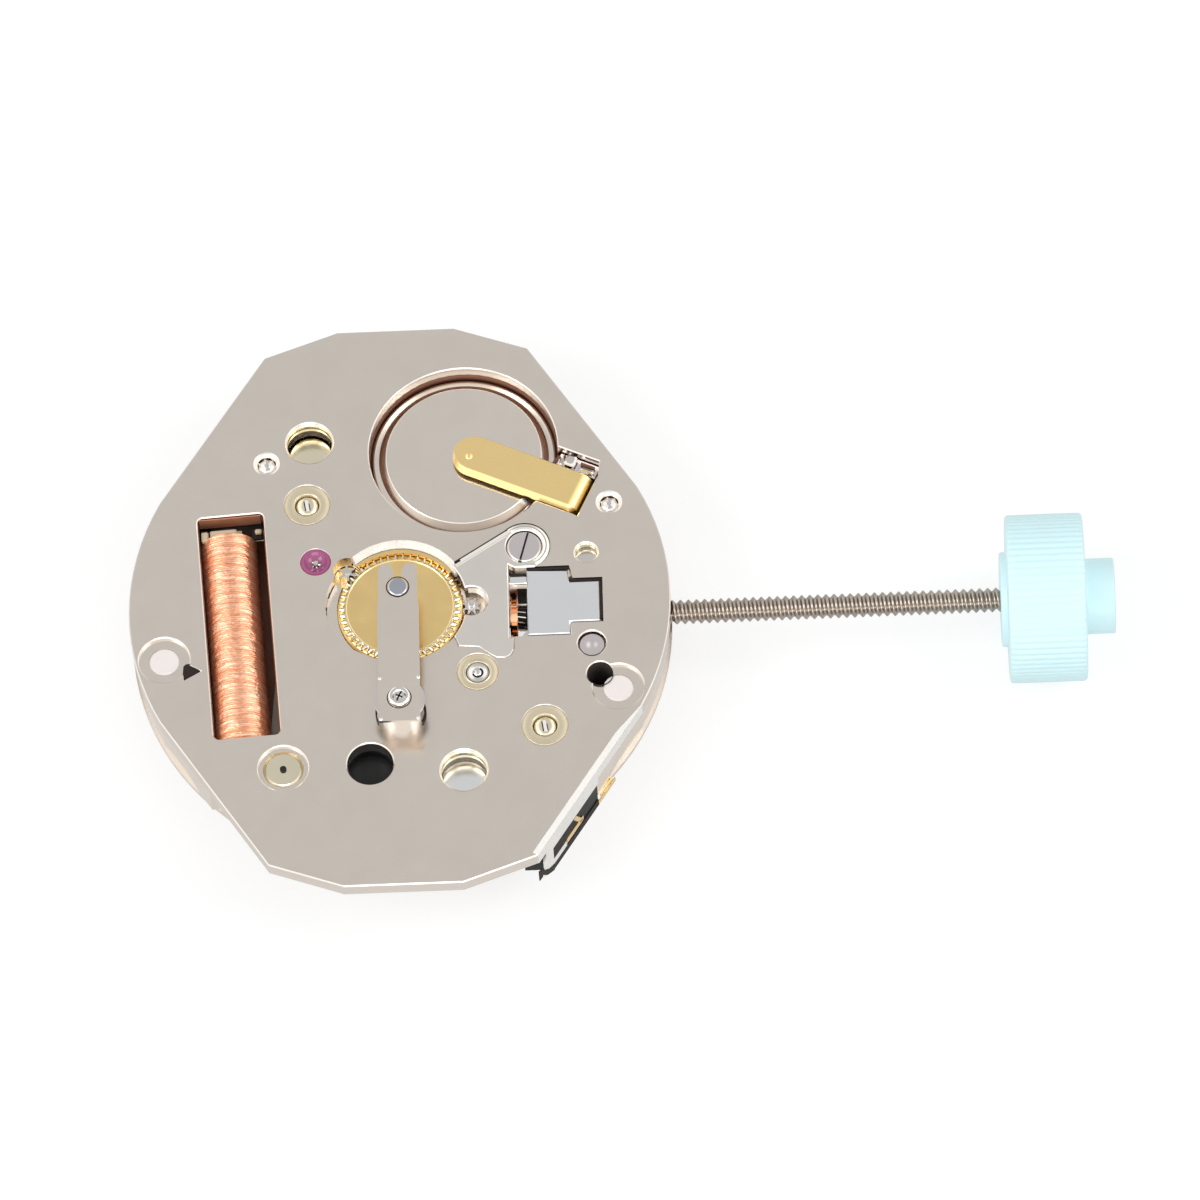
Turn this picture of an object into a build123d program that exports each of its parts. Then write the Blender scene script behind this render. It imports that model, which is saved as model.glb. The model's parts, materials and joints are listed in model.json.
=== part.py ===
"""Quartz watch movement, battery side up, with a shipping stem and crown.

The origin is on the axis of the hands, at the face that the dial rests on.
+Z points to the battery side, +X along the stem towards the crown. Millimetres.
"""
from math import acos, atan2, cos, degrees, hypot, pi, radians, sin
import os

from build123d import *

# Driving dimensions: the layers, from the dial seat up
dial_plate_t = 0.20
main_plate_t = 1.40
bridge_t = 0.60
main_bottom = dial_plate_t
main_top = main_bottom + main_plate_t
bridge_top = main_top + bridge_t

# Driving dimensions: the outline seen from above
plate_radius = 9.87
side_trim = 0.04
side_angle = 32.8
plate_half_length = 11.60
end_flat_half = 2.15
end_corner_drop = 0.98
main_inset = 0.07
resin_inset = 0.04
part_gap = 0.06
circuit_split_y = 7.17
bridge_edge = 0.04
resin_end_inset = 2.15
resin_foot_inset = 1.55
resin_left_inset = 0.70

# Clearances and the overrun of every cut
running_gap = 0.03
end_gap = 0.03
fit_gap = 0.02
overrun = 0.50

# Axes of the wheels, as distance and direction from the hands' axis
seconds_teeth = 50
fifth_leaves = 6
seconds_module = 0.086
seconds_pitch_r = seconds_module * seconds_teeth / 2
fifth_distance = seconds_module * (seconds_teeth + fifth_leaves) / 2
fifth_angle = 142
fifth_x = fifth_distance * cos(radians(fifth_angle))
fifth_y = fifth_distance * sin(radians(fifth_angle))
rotor_x = -3.04
rotor_y = 1.86
rotor_leaves = 10
fifth_teeth = 36
rotor_distance = hypot(rotor_x - fifth_x, rotor_y - fifth_y)
rotor_module = 2 * rotor_distance / (rotor_leaves + fifth_teeth)
third_teeth = 60
seconds_leaves = 8
third_module = 0.0768
third_distance = third_module * (third_teeth + seconds_leaves) / 2
third_angle = 230
third_x = third_distance * cos(radians(third_angle))
third_y = third_distance * sin(radians(third_angle))
centre_teeth = 64
third_leaves = 8
centre_module = 2 * third_distance / (centre_teeth + third_leaves)
setting_leaves = 8
setting_x = centre_module * (centre_teeth + setting_leaves) / 2
cannon_leaves = 10
minute_teeth = 30
minute_leaves = 8
hour_teeth = 32
motion_module = 0.10
minute_distance = motion_module * (cannon_leaves + minute_teeth) / 2
minute_angle = 250
minute_x = minute_distance * cos(radians(minute_angle))
minute_y = minute_distance * sin(radians(minute_angle))

# Heights of the wheels
wheel_t = 0.10
seconds_wheel_t = 0.12
train_floor = 1.15
dial_pocket_top = 0.66
centre_level = 1.27
third_level = 1.45
seconds_level = 1.83
hour_level = 0.23
minute_level = 0.42
setting_level = 0.38
cannon_leaf_level = 0.39

# Posts for the hands
seconds_post_r = 0.10
minute_post_r = 0.35
hour_post_r = 0.60
seconds_post_end = -2.33
minute_post_end = -1.95
hour_post_end = -1.40
centre_arbor_bore = 0.13
centre_arbor_r = 0.22
hour_bore = 0.38
hour_hub_r = 0.78

# Stem, clutch and crown
stem_z = 0.75
pilot_r = 0.22
pilot_start = 3.10
clutch_start = 3.98
clutch_length = 0.87
clutch_r = 0.72
clutch_core_r = 0.46
clutch_teeth = 16
clutch_tooth_start = 4.05
clutch_tooth_depth = 0.22
clutch_groove_start = 4.24
clutch_groove_width = 0.50
stem_square = 0.50
stem_collar_r = 0.50
stem_core_r = 0.25
lever_groove_start = 5.13
lever_groove_width = 0.45
stem_collar_start = 4.99
thread_start = 9.75
thread_end = 21.90
thread_r = 0.45
thread_depth = 0.11
thread_pitch = 0.295
crown_start = 22.10
crown_width = 2.84
crown_r = 3.07
crown_ribs = 72
crown_rib_depth = 0.05
crown_hub_r = 1.73
crown_hub_width = 0.25
crown_stub_r = 1.38
crown_stub_length = 1.09
crown_edge = 0.08
crown_socket_depth = 1.60
pull_travel = 0.50

# Battery and its two contacts
battery_x = 2.42
battery_y = 6.38
battery_r = 3.38
battery_t = 1.45
battery_drop = 0.45
battery_edge = 0.15
battery_shoulder = 0.24
battery_flat_r = 2.82
battery_hole_r = 3.47
battery_top = bridge_top - battery_drop
battery_bottom = battery_top - battery_t
strip_width = 1.60
strip_t = 0.24
strip_top = 2.17
strip_angle = -25
strip_x = 2.83
strip_y = 6.18
strip_reach = 3.96
strip_fold_r = 0.45
strip_leg_end = 0.95
strip_dimple_r = 0.15
strip_dimple_rise = 0.05

# Coil
coil_x = -6.05
coil_y = -0.67
coil_tilt = 3.6
coil_r = 1.04
coil_z = 1.14
coil_top_gap = 0.735
coil_bottom_gap = 0.085
coil_waist = 0.04
coil_clearance = 0.05
window_width = 2.43
window_length = 9.27
coil_top_end = window_length / 2 - coil_top_gap
coil_bottom_end = coil_bottom_gap - window_length / 2
window_x = -5.87
window_corner = 0.20
core_width = 0.80
core_t = 0.30
core_top_reach = 1.08
core_bottom_reach = 1.31
core_top_end = coil_top_end + core_top_reach
core_bottom_end = coil_bottom_end - core_bottom_reach
flange_t = 0.42
flange_width = 1.10
flange_height = 0.82

# Stator and rotor
stator_t = 0.30
stator_z = coil_z - core_t / 2 - stator_t
stator_arm = 0.70
stator_ring_r = 1.15
rotor_hole_r = 0.78
rotor_magnet_r = 0.62
rotor_magnet_t = 0.42

# Strap over the seconds wheel, held up by a pillar
strap_width = 1.51
strap_neck_width = 1.42
strap_t = 0.12
strap_top = 3.40
strap_neck_y = -0.76
strap_end_y = 0.97
strap_foot_y = -5.55
strap_hole_r = 0.44
strap_notch_width = 0.30
strap_notch_flare = 0.62
strap_corner = 0.25
pillar_y = -4.60
pillar_r = 0.70
pillar_flange_r = 0.92
pillar_flange_t = 0.12
strap_screw_r = 0.42
strap_screw_height = 0.18
strap_screw_shank_r = 0.25
screw_slot_width = 0.12
screw_slot_depth = 0.20
arbor_top = 3.45
arbor_head_r = 0.38
arbor_r = 0.16

# Holes in the bridge plate, each with the piece that it shows
bush_r = 0.83
bush_bore_r = 0.44
bush_a_x = -3.33
bush_a_y = 4.28
bush_b_x = 5.20
bush_b_y = -5.30
bush_rise = 0.02
stud_r = 0.42
stud_top = 2.16
yoke_x = 2.80
yoke_y = -2.98
yoke_bush_r = 0.74
yoke_bush_bore_r = 0.42
jewel_r = 0.53
jewel_t = 0.26
jewel_bore_r = 0.12
coil_pillar_x = -4.29
coil_pillar_y = -6.66
coil_pillar_hole_r = 0.91
coil_pillar_r = 0.74
coil_pillar_drop = 0.12
coil_pillar_pip_r = 0.08
resin_hole_x = -1.14
resin_hole_y = -6.61
resin_hole_r = 0.84
resin_hole_depth = 0.95
crystal_hole_x = 2.24
crystal_hole_y = -7.02
crystal_hole_r = 0.85
ground_pin_x = 6.84
ground_pin_y = 1.84
ground_pin_r = 0.42
ground_pin_drop = 0.42
dome_x = 6.97
dome_y = -1.97
dome_r = 0.52
dome_sink = 0.10
foot_x = 7.89
foot_y = -3.80
foot_clamp_r = 0.56
foot_sink_r = 0.93
foot_sink_depth = 0.14
foot_bore_r = 0.36
foot_bore_depth = 1.10
foot_hole_r = 0.48
foot_hole_step = 0.87
left_foot_x = -8.58
left_foot_y = -2.00
left_slot_step = 0.92
pin_r = 0.34
pin_hole_r = 0.45
pin_sink = 0.10
pin_a_x = -4.80
pin_a_y = 6.09
pin_b_x = 7.72
pin_b_y = 3.92
deep_hole_x = -3.22
deep_hole_y = 6.91
deep_hole_r = 0.86
deep_pin_r = 0.80
deep_pin_top = 1.25

# Central opening and the cover over the keyless works
centre_hole_r = 2.55
centre_hole_y = 0.11
lobe_r = 0.50
side_lobe_x = -0.45
side_lobe_r = 2.25
cover_t = 0.30
cover_ring_r = 0.95
cover_left_r = 2.45
cover_pinion_r = 0.60
lever_x = 4.58
lever_y = 2.20
lever_head_r = 0.64
lever_slot_angle = 75
lever_post_r = 0.30
lever_level = 1.33
lever_t = 0.14
lever_pin_r = 0.15
lever_pin_x = 5.355
lever_pin_y = 0.12
lever_arm_width = 0.55
guide_start = 4.65
guide_end = 7.28
guide_step_x = 6.20
guide_top_y = 1.19
guide_shoulder_y = 0.65
guide_low_y = -1.02
guide_bottom_y = -1.52
guide_drop = 0.03
guide_gap = 0.13
window_start = 3.98
shadow_hole_floor = 0.60

# Train plate under the seconds wheel, cut off at the right
train_plate_t = 0.09
train_plate_end_x = 1.15
train_pocket_r = 2.46

# Circuit
board_level = 1.05
board_t = 0.12
crystal_r = 0.58
crystal_length = 4.60
crystal_x = -2.90
crystal_y = -8.70
crystal_z = 0.85
crystal_lead_r = 0.08
crystal_lead_length = 0.55
chip_width = 1.20
chip_length = 0.80
chip_t = 0.38
chip_x = 0.55
board_start = -3.40
board_end = 4.60
board_low_y = -8.06

# Recess in the lower side of the circuit frame, with what it shows
recess_start = 3.75
recess_end = 5.75
recess_depth = 0.80
recess_top = 1.45
tab_start = 4.30
tab_end = 5.62
tab_t = 0.22
tab_inset = 0.30
tab_top = 1.38
trace_width = 0.12
trace_t = 0.05
bar_start = 1.33
bar_end = 2.14
bar_t = 0.05
bar_height = 0.14

# Contact beside the battery
block_floor = 0.70
notch_width = 0.36
notch_top = 1.95

os.makedirs("parts", exist_ok=True)


# Outline of the movement, drawn in by an inset
def outline(level, inset):
    radius = plate_radius - inset
    side = radius - side_trim
    half_length = plate_half_length - inset
    corner_y = half_length - end_corner_drop
    corner_x = (side - corner_y * sin(radians(side_angle))) / cos(radians(side_angle))
    spread = degrees(acos(side / radius))
    start = side_angle - spread
    arc_x = radius * cos(radians(start))
    arc_y = radius * sin(radians(start))
    right = [(arc_x, arc_y), (corner_x, corner_y), (end_flat_half, half_length)]
    left = [(-x, y) for x, y in reversed(right)]
    with BuildSketch(Plane.XY.offset(level)) as shape:
        with BuildLine():
            Polyline(*right, *left)
            ThreePointArc((-arc_x, arc_y), (-radius, 0), (-arc_x, -arc_y))
            Polyline(*[(x, -y) for x, y in reversed(left)], *[(x, -y) for x, y in reversed(right)])
            ThreePointArc((arc_x, -arc_y), (radius, 0), (arc_x, arc_y))
        make_face()
    return shape.sketch


# One toothed wheel's face, with its first tooth at the angle phase
def gear_face(level, place, teeth, module, phase, bore):
    pitch_r = module * teeth / 2
    tip_r = pitch_r + 0.95 * module
    root_r = pitch_r - 1.15 * module
    step = 360 / teeth
    corners_share = [(-0.29, root_r), (-0.12, tip_r), (0.12, tip_r), (0.29, root_r)]
    points = []
    for tooth in range(teeth):
        for share, radius in corners_share:
            angle = radians(phase + (tooth + share) * step)
            points.append((place[0] + radius * cos(angle), place[1] + radius * sin(angle)))
    with BuildSketch(Plane.XY.offset(level)) as face:
        with BuildLine():
            Polyline(*points, close=True)
        make_face()
        if bore:
            with Locations(place):
                Circle(bore, mode=Mode.SUBTRACT)
    return face.sketch


# Phase that puts a wheel's tooth gap where the neighbour's tooth is
def meshed_phase(direction, teeth, phase, other_teeth):
    offset = ((direction - phase) * teeth / 360) % 1
    return direction + 180 - (0.5 - offset) * 360 / other_teeth


def disc_face(level, place, radius, bore=0):
    with BuildSketch(Plane.XY.offset(level)) as face:
        with Locations(place):
            Circle(radius)
            if bore:
                Circle(bore, mode=Mode.SUBTRACT)
    return face.sketch


def box_face(level, x_low, x_high, y_low, y_high):
    with BuildSketch(Plane.XY.offset(level)) as face:
        with Locations(((x_low + x_high) / 2, (y_low + y_high) / 2)):
            Rectangle(x_high - x_low, y_high - y_low)
    return face.sketch


# Place at a distance along the coil's axis and to its right
def on_coil(along, across=0):
    lean = radians(coil_tilt)
    return (
        coil_x - along * sin(lean) + across * cos(lean),
        coil_y + along * cos(lean) + across * sin(lean),
    )


def coil_box(level, low, high, width, across=0):
    with BuildSketch(Plane.XY.offset(level)) as face:
        with Locations(Location(on_coil((low + high) / 2, across), coil_tilt)):
            Rectangle(width, high - low)
    return face.sketch


# Place at a distance along the contact strip and across it
def on_strip(along, across=0):
    turn = radians(strip_angle)
    return (
        strip_x + along * cos(turn) - across * sin(turn),
        strip_y + along * sin(turn) + across * cos(turn),
    )


seconds_axis = (0, 0)
fifth_axis = (fifth_x, fifth_y)
rotor_axis = (rotor_x, rotor_y)
third_axis = (third_x, third_y)
setting_axis = (setting_x, 0)
minute_axis = (minute_x, minute_y)
battery_place = (battery_x, battery_y)
lever_place = (lever_x, lever_y)
yoke_place = (yoke_x, yoke_y)
pillar_place = (0, pillar_y)

fifth_direction = degrees(atan2(fifth_y, fifth_x))
rotor_direction = degrees(atan2(rotor_y - fifth_y, rotor_x - fifth_x))
seconds_phase = 0
fifth_phase = meshed_phase(fifth_direction, seconds_teeth, seconds_phase, fifth_leaves)
fifth_wheel_phase = 0
rotor_phase = meshed_phase(rotor_direction, fifth_teeth, fifth_wheel_phase, rotor_leaves)
seconds_leaf_phase = 0
third_phase = meshed_phase(third_angle, seconds_leaves, seconds_leaf_phase, third_teeth)
centre_phase = 0
third_leaf_phase = meshed_phase(third_angle, centre_teeth, centre_phase, third_leaves)
setting_phase = meshed_phase(0, centre_teeth, centre_phase, setting_leaves)
cannon_phase = 0
minute_phase = meshed_phase(minute_angle, cannon_leaves, cannon_phase, minute_teeth)
hour_phase = 0
minute_leaf_phase = meshed_phase(minute_angle, hour_teeth, hour_phase, minute_leaves)

third_tip_r = third_module * (third_teeth / 2 + 1)
fifth_tip_r = rotor_module * (fifth_teeth / 2 + 1)
hour_tip_r = motion_module * (hour_teeth / 2 + 1)
minute_tip_r = motion_module * (minute_teeth / 2 + 1)
setting_r = window_start - 2 * running_gap - setting_x
cover_bottom = bridge_top - cover_t
guide_top = bridge_top - guide_drop
wheel_pocket_gap = 0.10
stem_bore_r = stem_collar_r + running_gap
clutch_end = clutch_start + clutch_length
window_bottom_y = guide_bottom_y - part_gap
window_top_y = guide_top_y + guide_gap
slot_tip = on_strip(strip_reach + strip_fold_r + guide_gap, -strip_width / 2 - guide_gap)
slot_high = on_strip(strip_reach + strip_fold_r + guide_gap, strip_width / 2 + guide_gap)
strip_leg_along = strip_reach + strip_fold_r


# Opening in the bridge plate for the contact strip and the notch beside it
def strip_slot_face(level):
    with BuildSketch(Plane.XY.offset(level)) as face:
        with BuildLine():
            Polyline(
                on_strip(strip_width, -strip_width / 2 - guide_gap),
                slot_tip,
                slot_high,
                on_strip(strip_reach + strip_width / 4, strip_width - guide_gap),
                on_strip(strip_reach - strip_width, strip_width - guide_gap),
                on_strip(strip_width, 0),
                close=True,
            )
        make_face()
        corner = face.sketch.vertices().sort_by_distance(slot_tip)[0]
        fillet(corner, strip_width / 6)
    return face.sketch


# Outline of the cover over the keyless works
def cover_face(level, grow):
    with BuildSketch(Plane.XY.offset(level)) as face:
        with BuildLine():
            Polyline(
                (lever_x - cover_ring_r * 0.59 - grow, lever_y + cover_ring_r * 0.77 + grow),
                (cover_left_r * 0.82 - grow, cover_left_r * 0.66 + grow),
                (cover_left_r * 0.60, 0),
                (cover_left_r * 0.87 - grow, -cover_left_r * 0.77 - grow),
                (cover_left_r * 1.17, -cover_left_r * 0.80 - grow),
                (cover_left_r * 1.35, -cover_left_r * 0.94 - grow),
                (cover_left_r * 1.43, -cover_left_r * 0.99 - grow),
                (cover_left_r * 1.55, -cover_left_r - grow),
                (cover_left_r * 1.64 + grow, -cover_left_r * 0.95 - grow),
                (cover_left_r * 1.69 + grow, -cover_left_r * 0.86),
                (cover_left_r * 1.70 + grow, window_bottom_y),
                (window_start, window_bottom_y),
                (window_start, lever_y - cover_ring_r * 0.8),
                lever_place,
                close=True,
            )
        make_face()
        with Locations(lever_place):
            Circle(cover_ring_r + grow)
        Circle(cover_left_r - grow, mode=Mode.SUBTRACT)
        with Locations(((window_start + guide_end) / 2, (window_bottom_y + window_top_y) / 2)):
            Rectangle(guide_end - window_start, window_top_y - window_bottom_y, mode=Mode.SUBTRACT)
    return face.sketch


# Opening over the seconds wheel, wider at the left
def opening_face(level, inset):
    with BuildSketch(Plane.XY.offset(level)) as face:
        with Locations((0, centre_hole_y)):
            Circle(centre_hole_r - inset)
        with Locations((side_lobe_x, 0)):
            Circle(side_lobe_r - inset)
    return face.sketch


# Opening for the clutch and the stem guide, stepped at its outer end
def guide_window_face(level):
    with BuildSketch(Plane.XY.offset(level)) as face:
        with BuildLine():
            Polyline(
                (window_start, window_bottom_y),
                (guide_step_x + part_gap, window_bottom_y),
                (guide_step_x + part_gap, guide_low_y - part_gap),
                (guide_end + guide_gap, guide_low_y - part_gap),
                (guide_end + guide_gap, guide_shoulder_y + guide_gap),
                (guide_step_x + guide_gap, guide_shoulder_y + guide_gap),
                (guide_step_x, window_top_y),
                (window_start, window_top_y),
                close=True,
            )
        make_face()
    return face.sketch


# Narrow face with round ends from one place to another
def link_face(level, start, end, width):
    middle = ((start[0] + end[0]) / 2, (start[1] + end[1]) / 2)
    length = hypot(end[0] - start[0], end[1] - start[1])
    turn = degrees(atan2(end[1] - start[1], end[0] - start[0]))
    with BuildSketch(Plane.XY.offset(level)) as face:
        with Locations(Location(middle, turn)):
            SlotCenterToCenter(length, width)
    return face.sketch


# Face that lies across the stem's axis
def stem_face(start, radius, sides=0):
    with BuildSketch(Plane.YZ.offset(start)) as face:
        with Locations((0, stem_z)):
            if sides:
                Rectangle(radius, radius)
            else:
                Circle(radius)
    return face.sketch


# Place on the lower side, along it and in from it
def on_side(along, inward):
    turn = radians(-side_angle)
    reach = plate_radius - side_trim - inward
    return (
        reach * cos(turn) + along * sin(turn),
        reach * sin(turn) - along * cos(turn),
    )


def side_box(level, low, high, inner, outer):
    with BuildSketch(Plane.XY.offset(level)) as face:
        with BuildLine():
            Polyline(
                on_side(low, inner),
                on_side(high, inner),
                on_side(high, outer),
                on_side(low, outer),
                close=True,
            )
        make_face()
    return face.sketch


bush_a_place = (bush_a_x, bush_a_y)
bush_b_place = (bush_b_x, bush_b_y)
coil_pillar_place = (coil_pillar_x, coil_pillar_y)
resin_hole_place = (resin_hole_x, resin_hole_y)
crystal_hole_place = (crystal_hole_x, crystal_hole_y)
deep_hole_place = (deep_hole_x, deep_hole_y)
ground_pin_place = (ground_pin_x, ground_pin_y)
dome_place = (dome_x, dome_y)
foot_place = (foot_x, foot_y)
left_foot_place = (left_foot_x, left_foot_y)
pin_a_place = (pin_a_x, pin_a_y)
pin_b_place = (pin_b_x, pin_b_y)
foot_hole_place = (foot_x - foot_hole_step * 0.75, foot_y + foot_hole_step * 0.66)
left_slot_place = (left_foot_x + left_slot_step, left_foot_y - left_slot_step * 0.55)
stator_bend = (rotor_x - stator_arm, rotor_y - stator_ring_r * 2.2)
yoke_finger_x = clutch_groove_start + clutch_groove_width * 0.72
yoke_finger_y = -clutch_r + clutch_r * 0.06
yoke_finger_place = (yoke_finger_x, yoke_finger_y)
yoke_t = 0.14
yoke_level = stem_z - yoke_t / 2
yoke_width = 0.50
yoke_finger_width = 0.18
lever_swing = 14.6
core_top_place = on_coil(core_top_end)
core_bottom_place = on_coil(core_bottom_end)
coil_half_gap = coil_r + coil_clearance


def turned(place, centre, angle):
    turn = radians(angle)
    east = place[0] - centre[0]
    north = place[1] - centre[1]
    return (
        centre[0] + east * cos(turn) - north * sin(turn),
        centre[1] + east * sin(turn) + north * cos(turn),
    )


lever_pin_place = (lever_pin_x, lever_pin_y)
lever_stops = [turned(lever_pin_place, lever_place, lever_swing * step / 2) for step in range(3)]
stator_links = [(bush_a_place, rotor_axis), (rotor_axis, stator_bend), (stator_bend, coil_pillar_place)]
core_links = [(core_top_place, bush_a_place), (core_bottom_place, coil_pillar_place)]

# Bridge plate: the nickel plate that shows, with all its openings
with BuildPart() as bridge_plate:
    extrude(outline(main_top, 0), amount=bridge_t)
    with BuildSketch(Plane.XY.offset(main_top)):
        with Locations(Location((window_x, coil_y), coil_tilt)):
            RectangleRounded(window_width, window_length, window_corner)
        with Locations(battery_place):
            Circle(battery_hole_r)
        with Locations(fifth_axis, setting_axis):
            Circle(lobe_r)
        with Locations(bush_a_place, bush_b_place):
            Circle(bush_r)
        with Locations(yoke_place):
            Circle(yoke_bush_r)
        with Locations(rotor_axis):
            Circle(jewel_r)
        with Locations(coil_pillar_place):
            Circle(coil_pillar_r)
        with Locations(resin_hole_place):
            Circle(resin_hole_r)
        with Locations(crystal_hole_place):
            Circle(crystal_hole_r)
        with Locations(ground_pin_place):
            Circle(ground_pin_r)
        with Locations(dome_place):
            Circle(dome_r)
        with Locations(foot_place, left_foot_place):
            Circle(foot_clamp_r)
        with Locations(foot_hole_place):
            Circle(foot_hole_r)
        with Locations(left_slot_place):
            RegularPolygon(foot_hole_r * 0.8, 3)
        with Locations(deep_hole_place):
            Circle(deep_hole_r)
        with Locations(lever_place):
            Circle(lever_head_r + running_gap)
        with Locations(pillar_place):
            Circle(pillar_r / 2)
    extrude(amount=bridge_t, mode=Mode.SUBTRACT)
    extrude(opening_face(main_top, 0), amount=bridge_t, mode=Mode.SUBTRACT)
    extrude(strip_slot_face(main_top), amount=bridge_t, mode=Mode.SUBTRACT)
    extrude(guide_window_face(main_top), amount=bridge_t, mode=Mode.SUBTRACT)
    join_top_y = lever_y - cover_ring_r / 2
    join_end = window_start + cover_ring_r / 4
    join_face = box_face(main_top, window_start - part_gap, join_end, window_bottom_y, join_top_y)
    extrude(join_face, amount=bridge_t, mode=Mode.SUBTRACT)
    extrude(cover_face(cover_bottom, part_gap / 3), amount=cover_t, mode=Mode.SUBTRACT)
    sink_level = bridge_top - coil_pillar_drop
    sink_face = disc_face(sink_level, coil_pillar_place, coil_pillar_hole_r)
    extrude(sink_face, amount=coil_pillar_drop, mode=Mode.SUBTRACT)
    extrude(disc_face(main_top, third_axis, pilot_r / 2), amount=bridge_t / 2, mode=Mode.SUBTRACT)
    for place in (foot_place, left_foot_place):
        sink_face = disc_face(bridge_top - foot_sink_depth, place, foot_sink_r)
        extrude(sink_face, amount=foot_sink_depth, mode=Mode.SUBTRACT)
    with Locations((pin_a_x, pin_a_y, bridge_top), (pin_b_x, pin_b_y, bridge_top)):
        CounterSinkHole(pin_r, pin_hole_r, bridge_t, 90)
    top_face = bridge_plate.faces().filter_by(Axis.Z).group_by(Axis.Z)[-1].sort_by(SortBy.AREA)[-1]
    loops = sorted(top_face.inner_wires(), key=lambda wire: len(wire.edges()))
    chamfer(top_face.outer_wire().edges(), bridge_edge)
    for loop in loops[:-1]:
        chamfer(loop.edges(), bridge_edge)

bridge_plate.part.label = "bridge_plate"
export_step(bridge_plate.part, "parts/bridge_plate.step")


# Half plane beyond a split line, as a wide face
def beyond_face(level, low_y, high_y):
    return box_face(level, -plate_radius * 2, plate_radius * 2, low_y, high_y)


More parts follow.
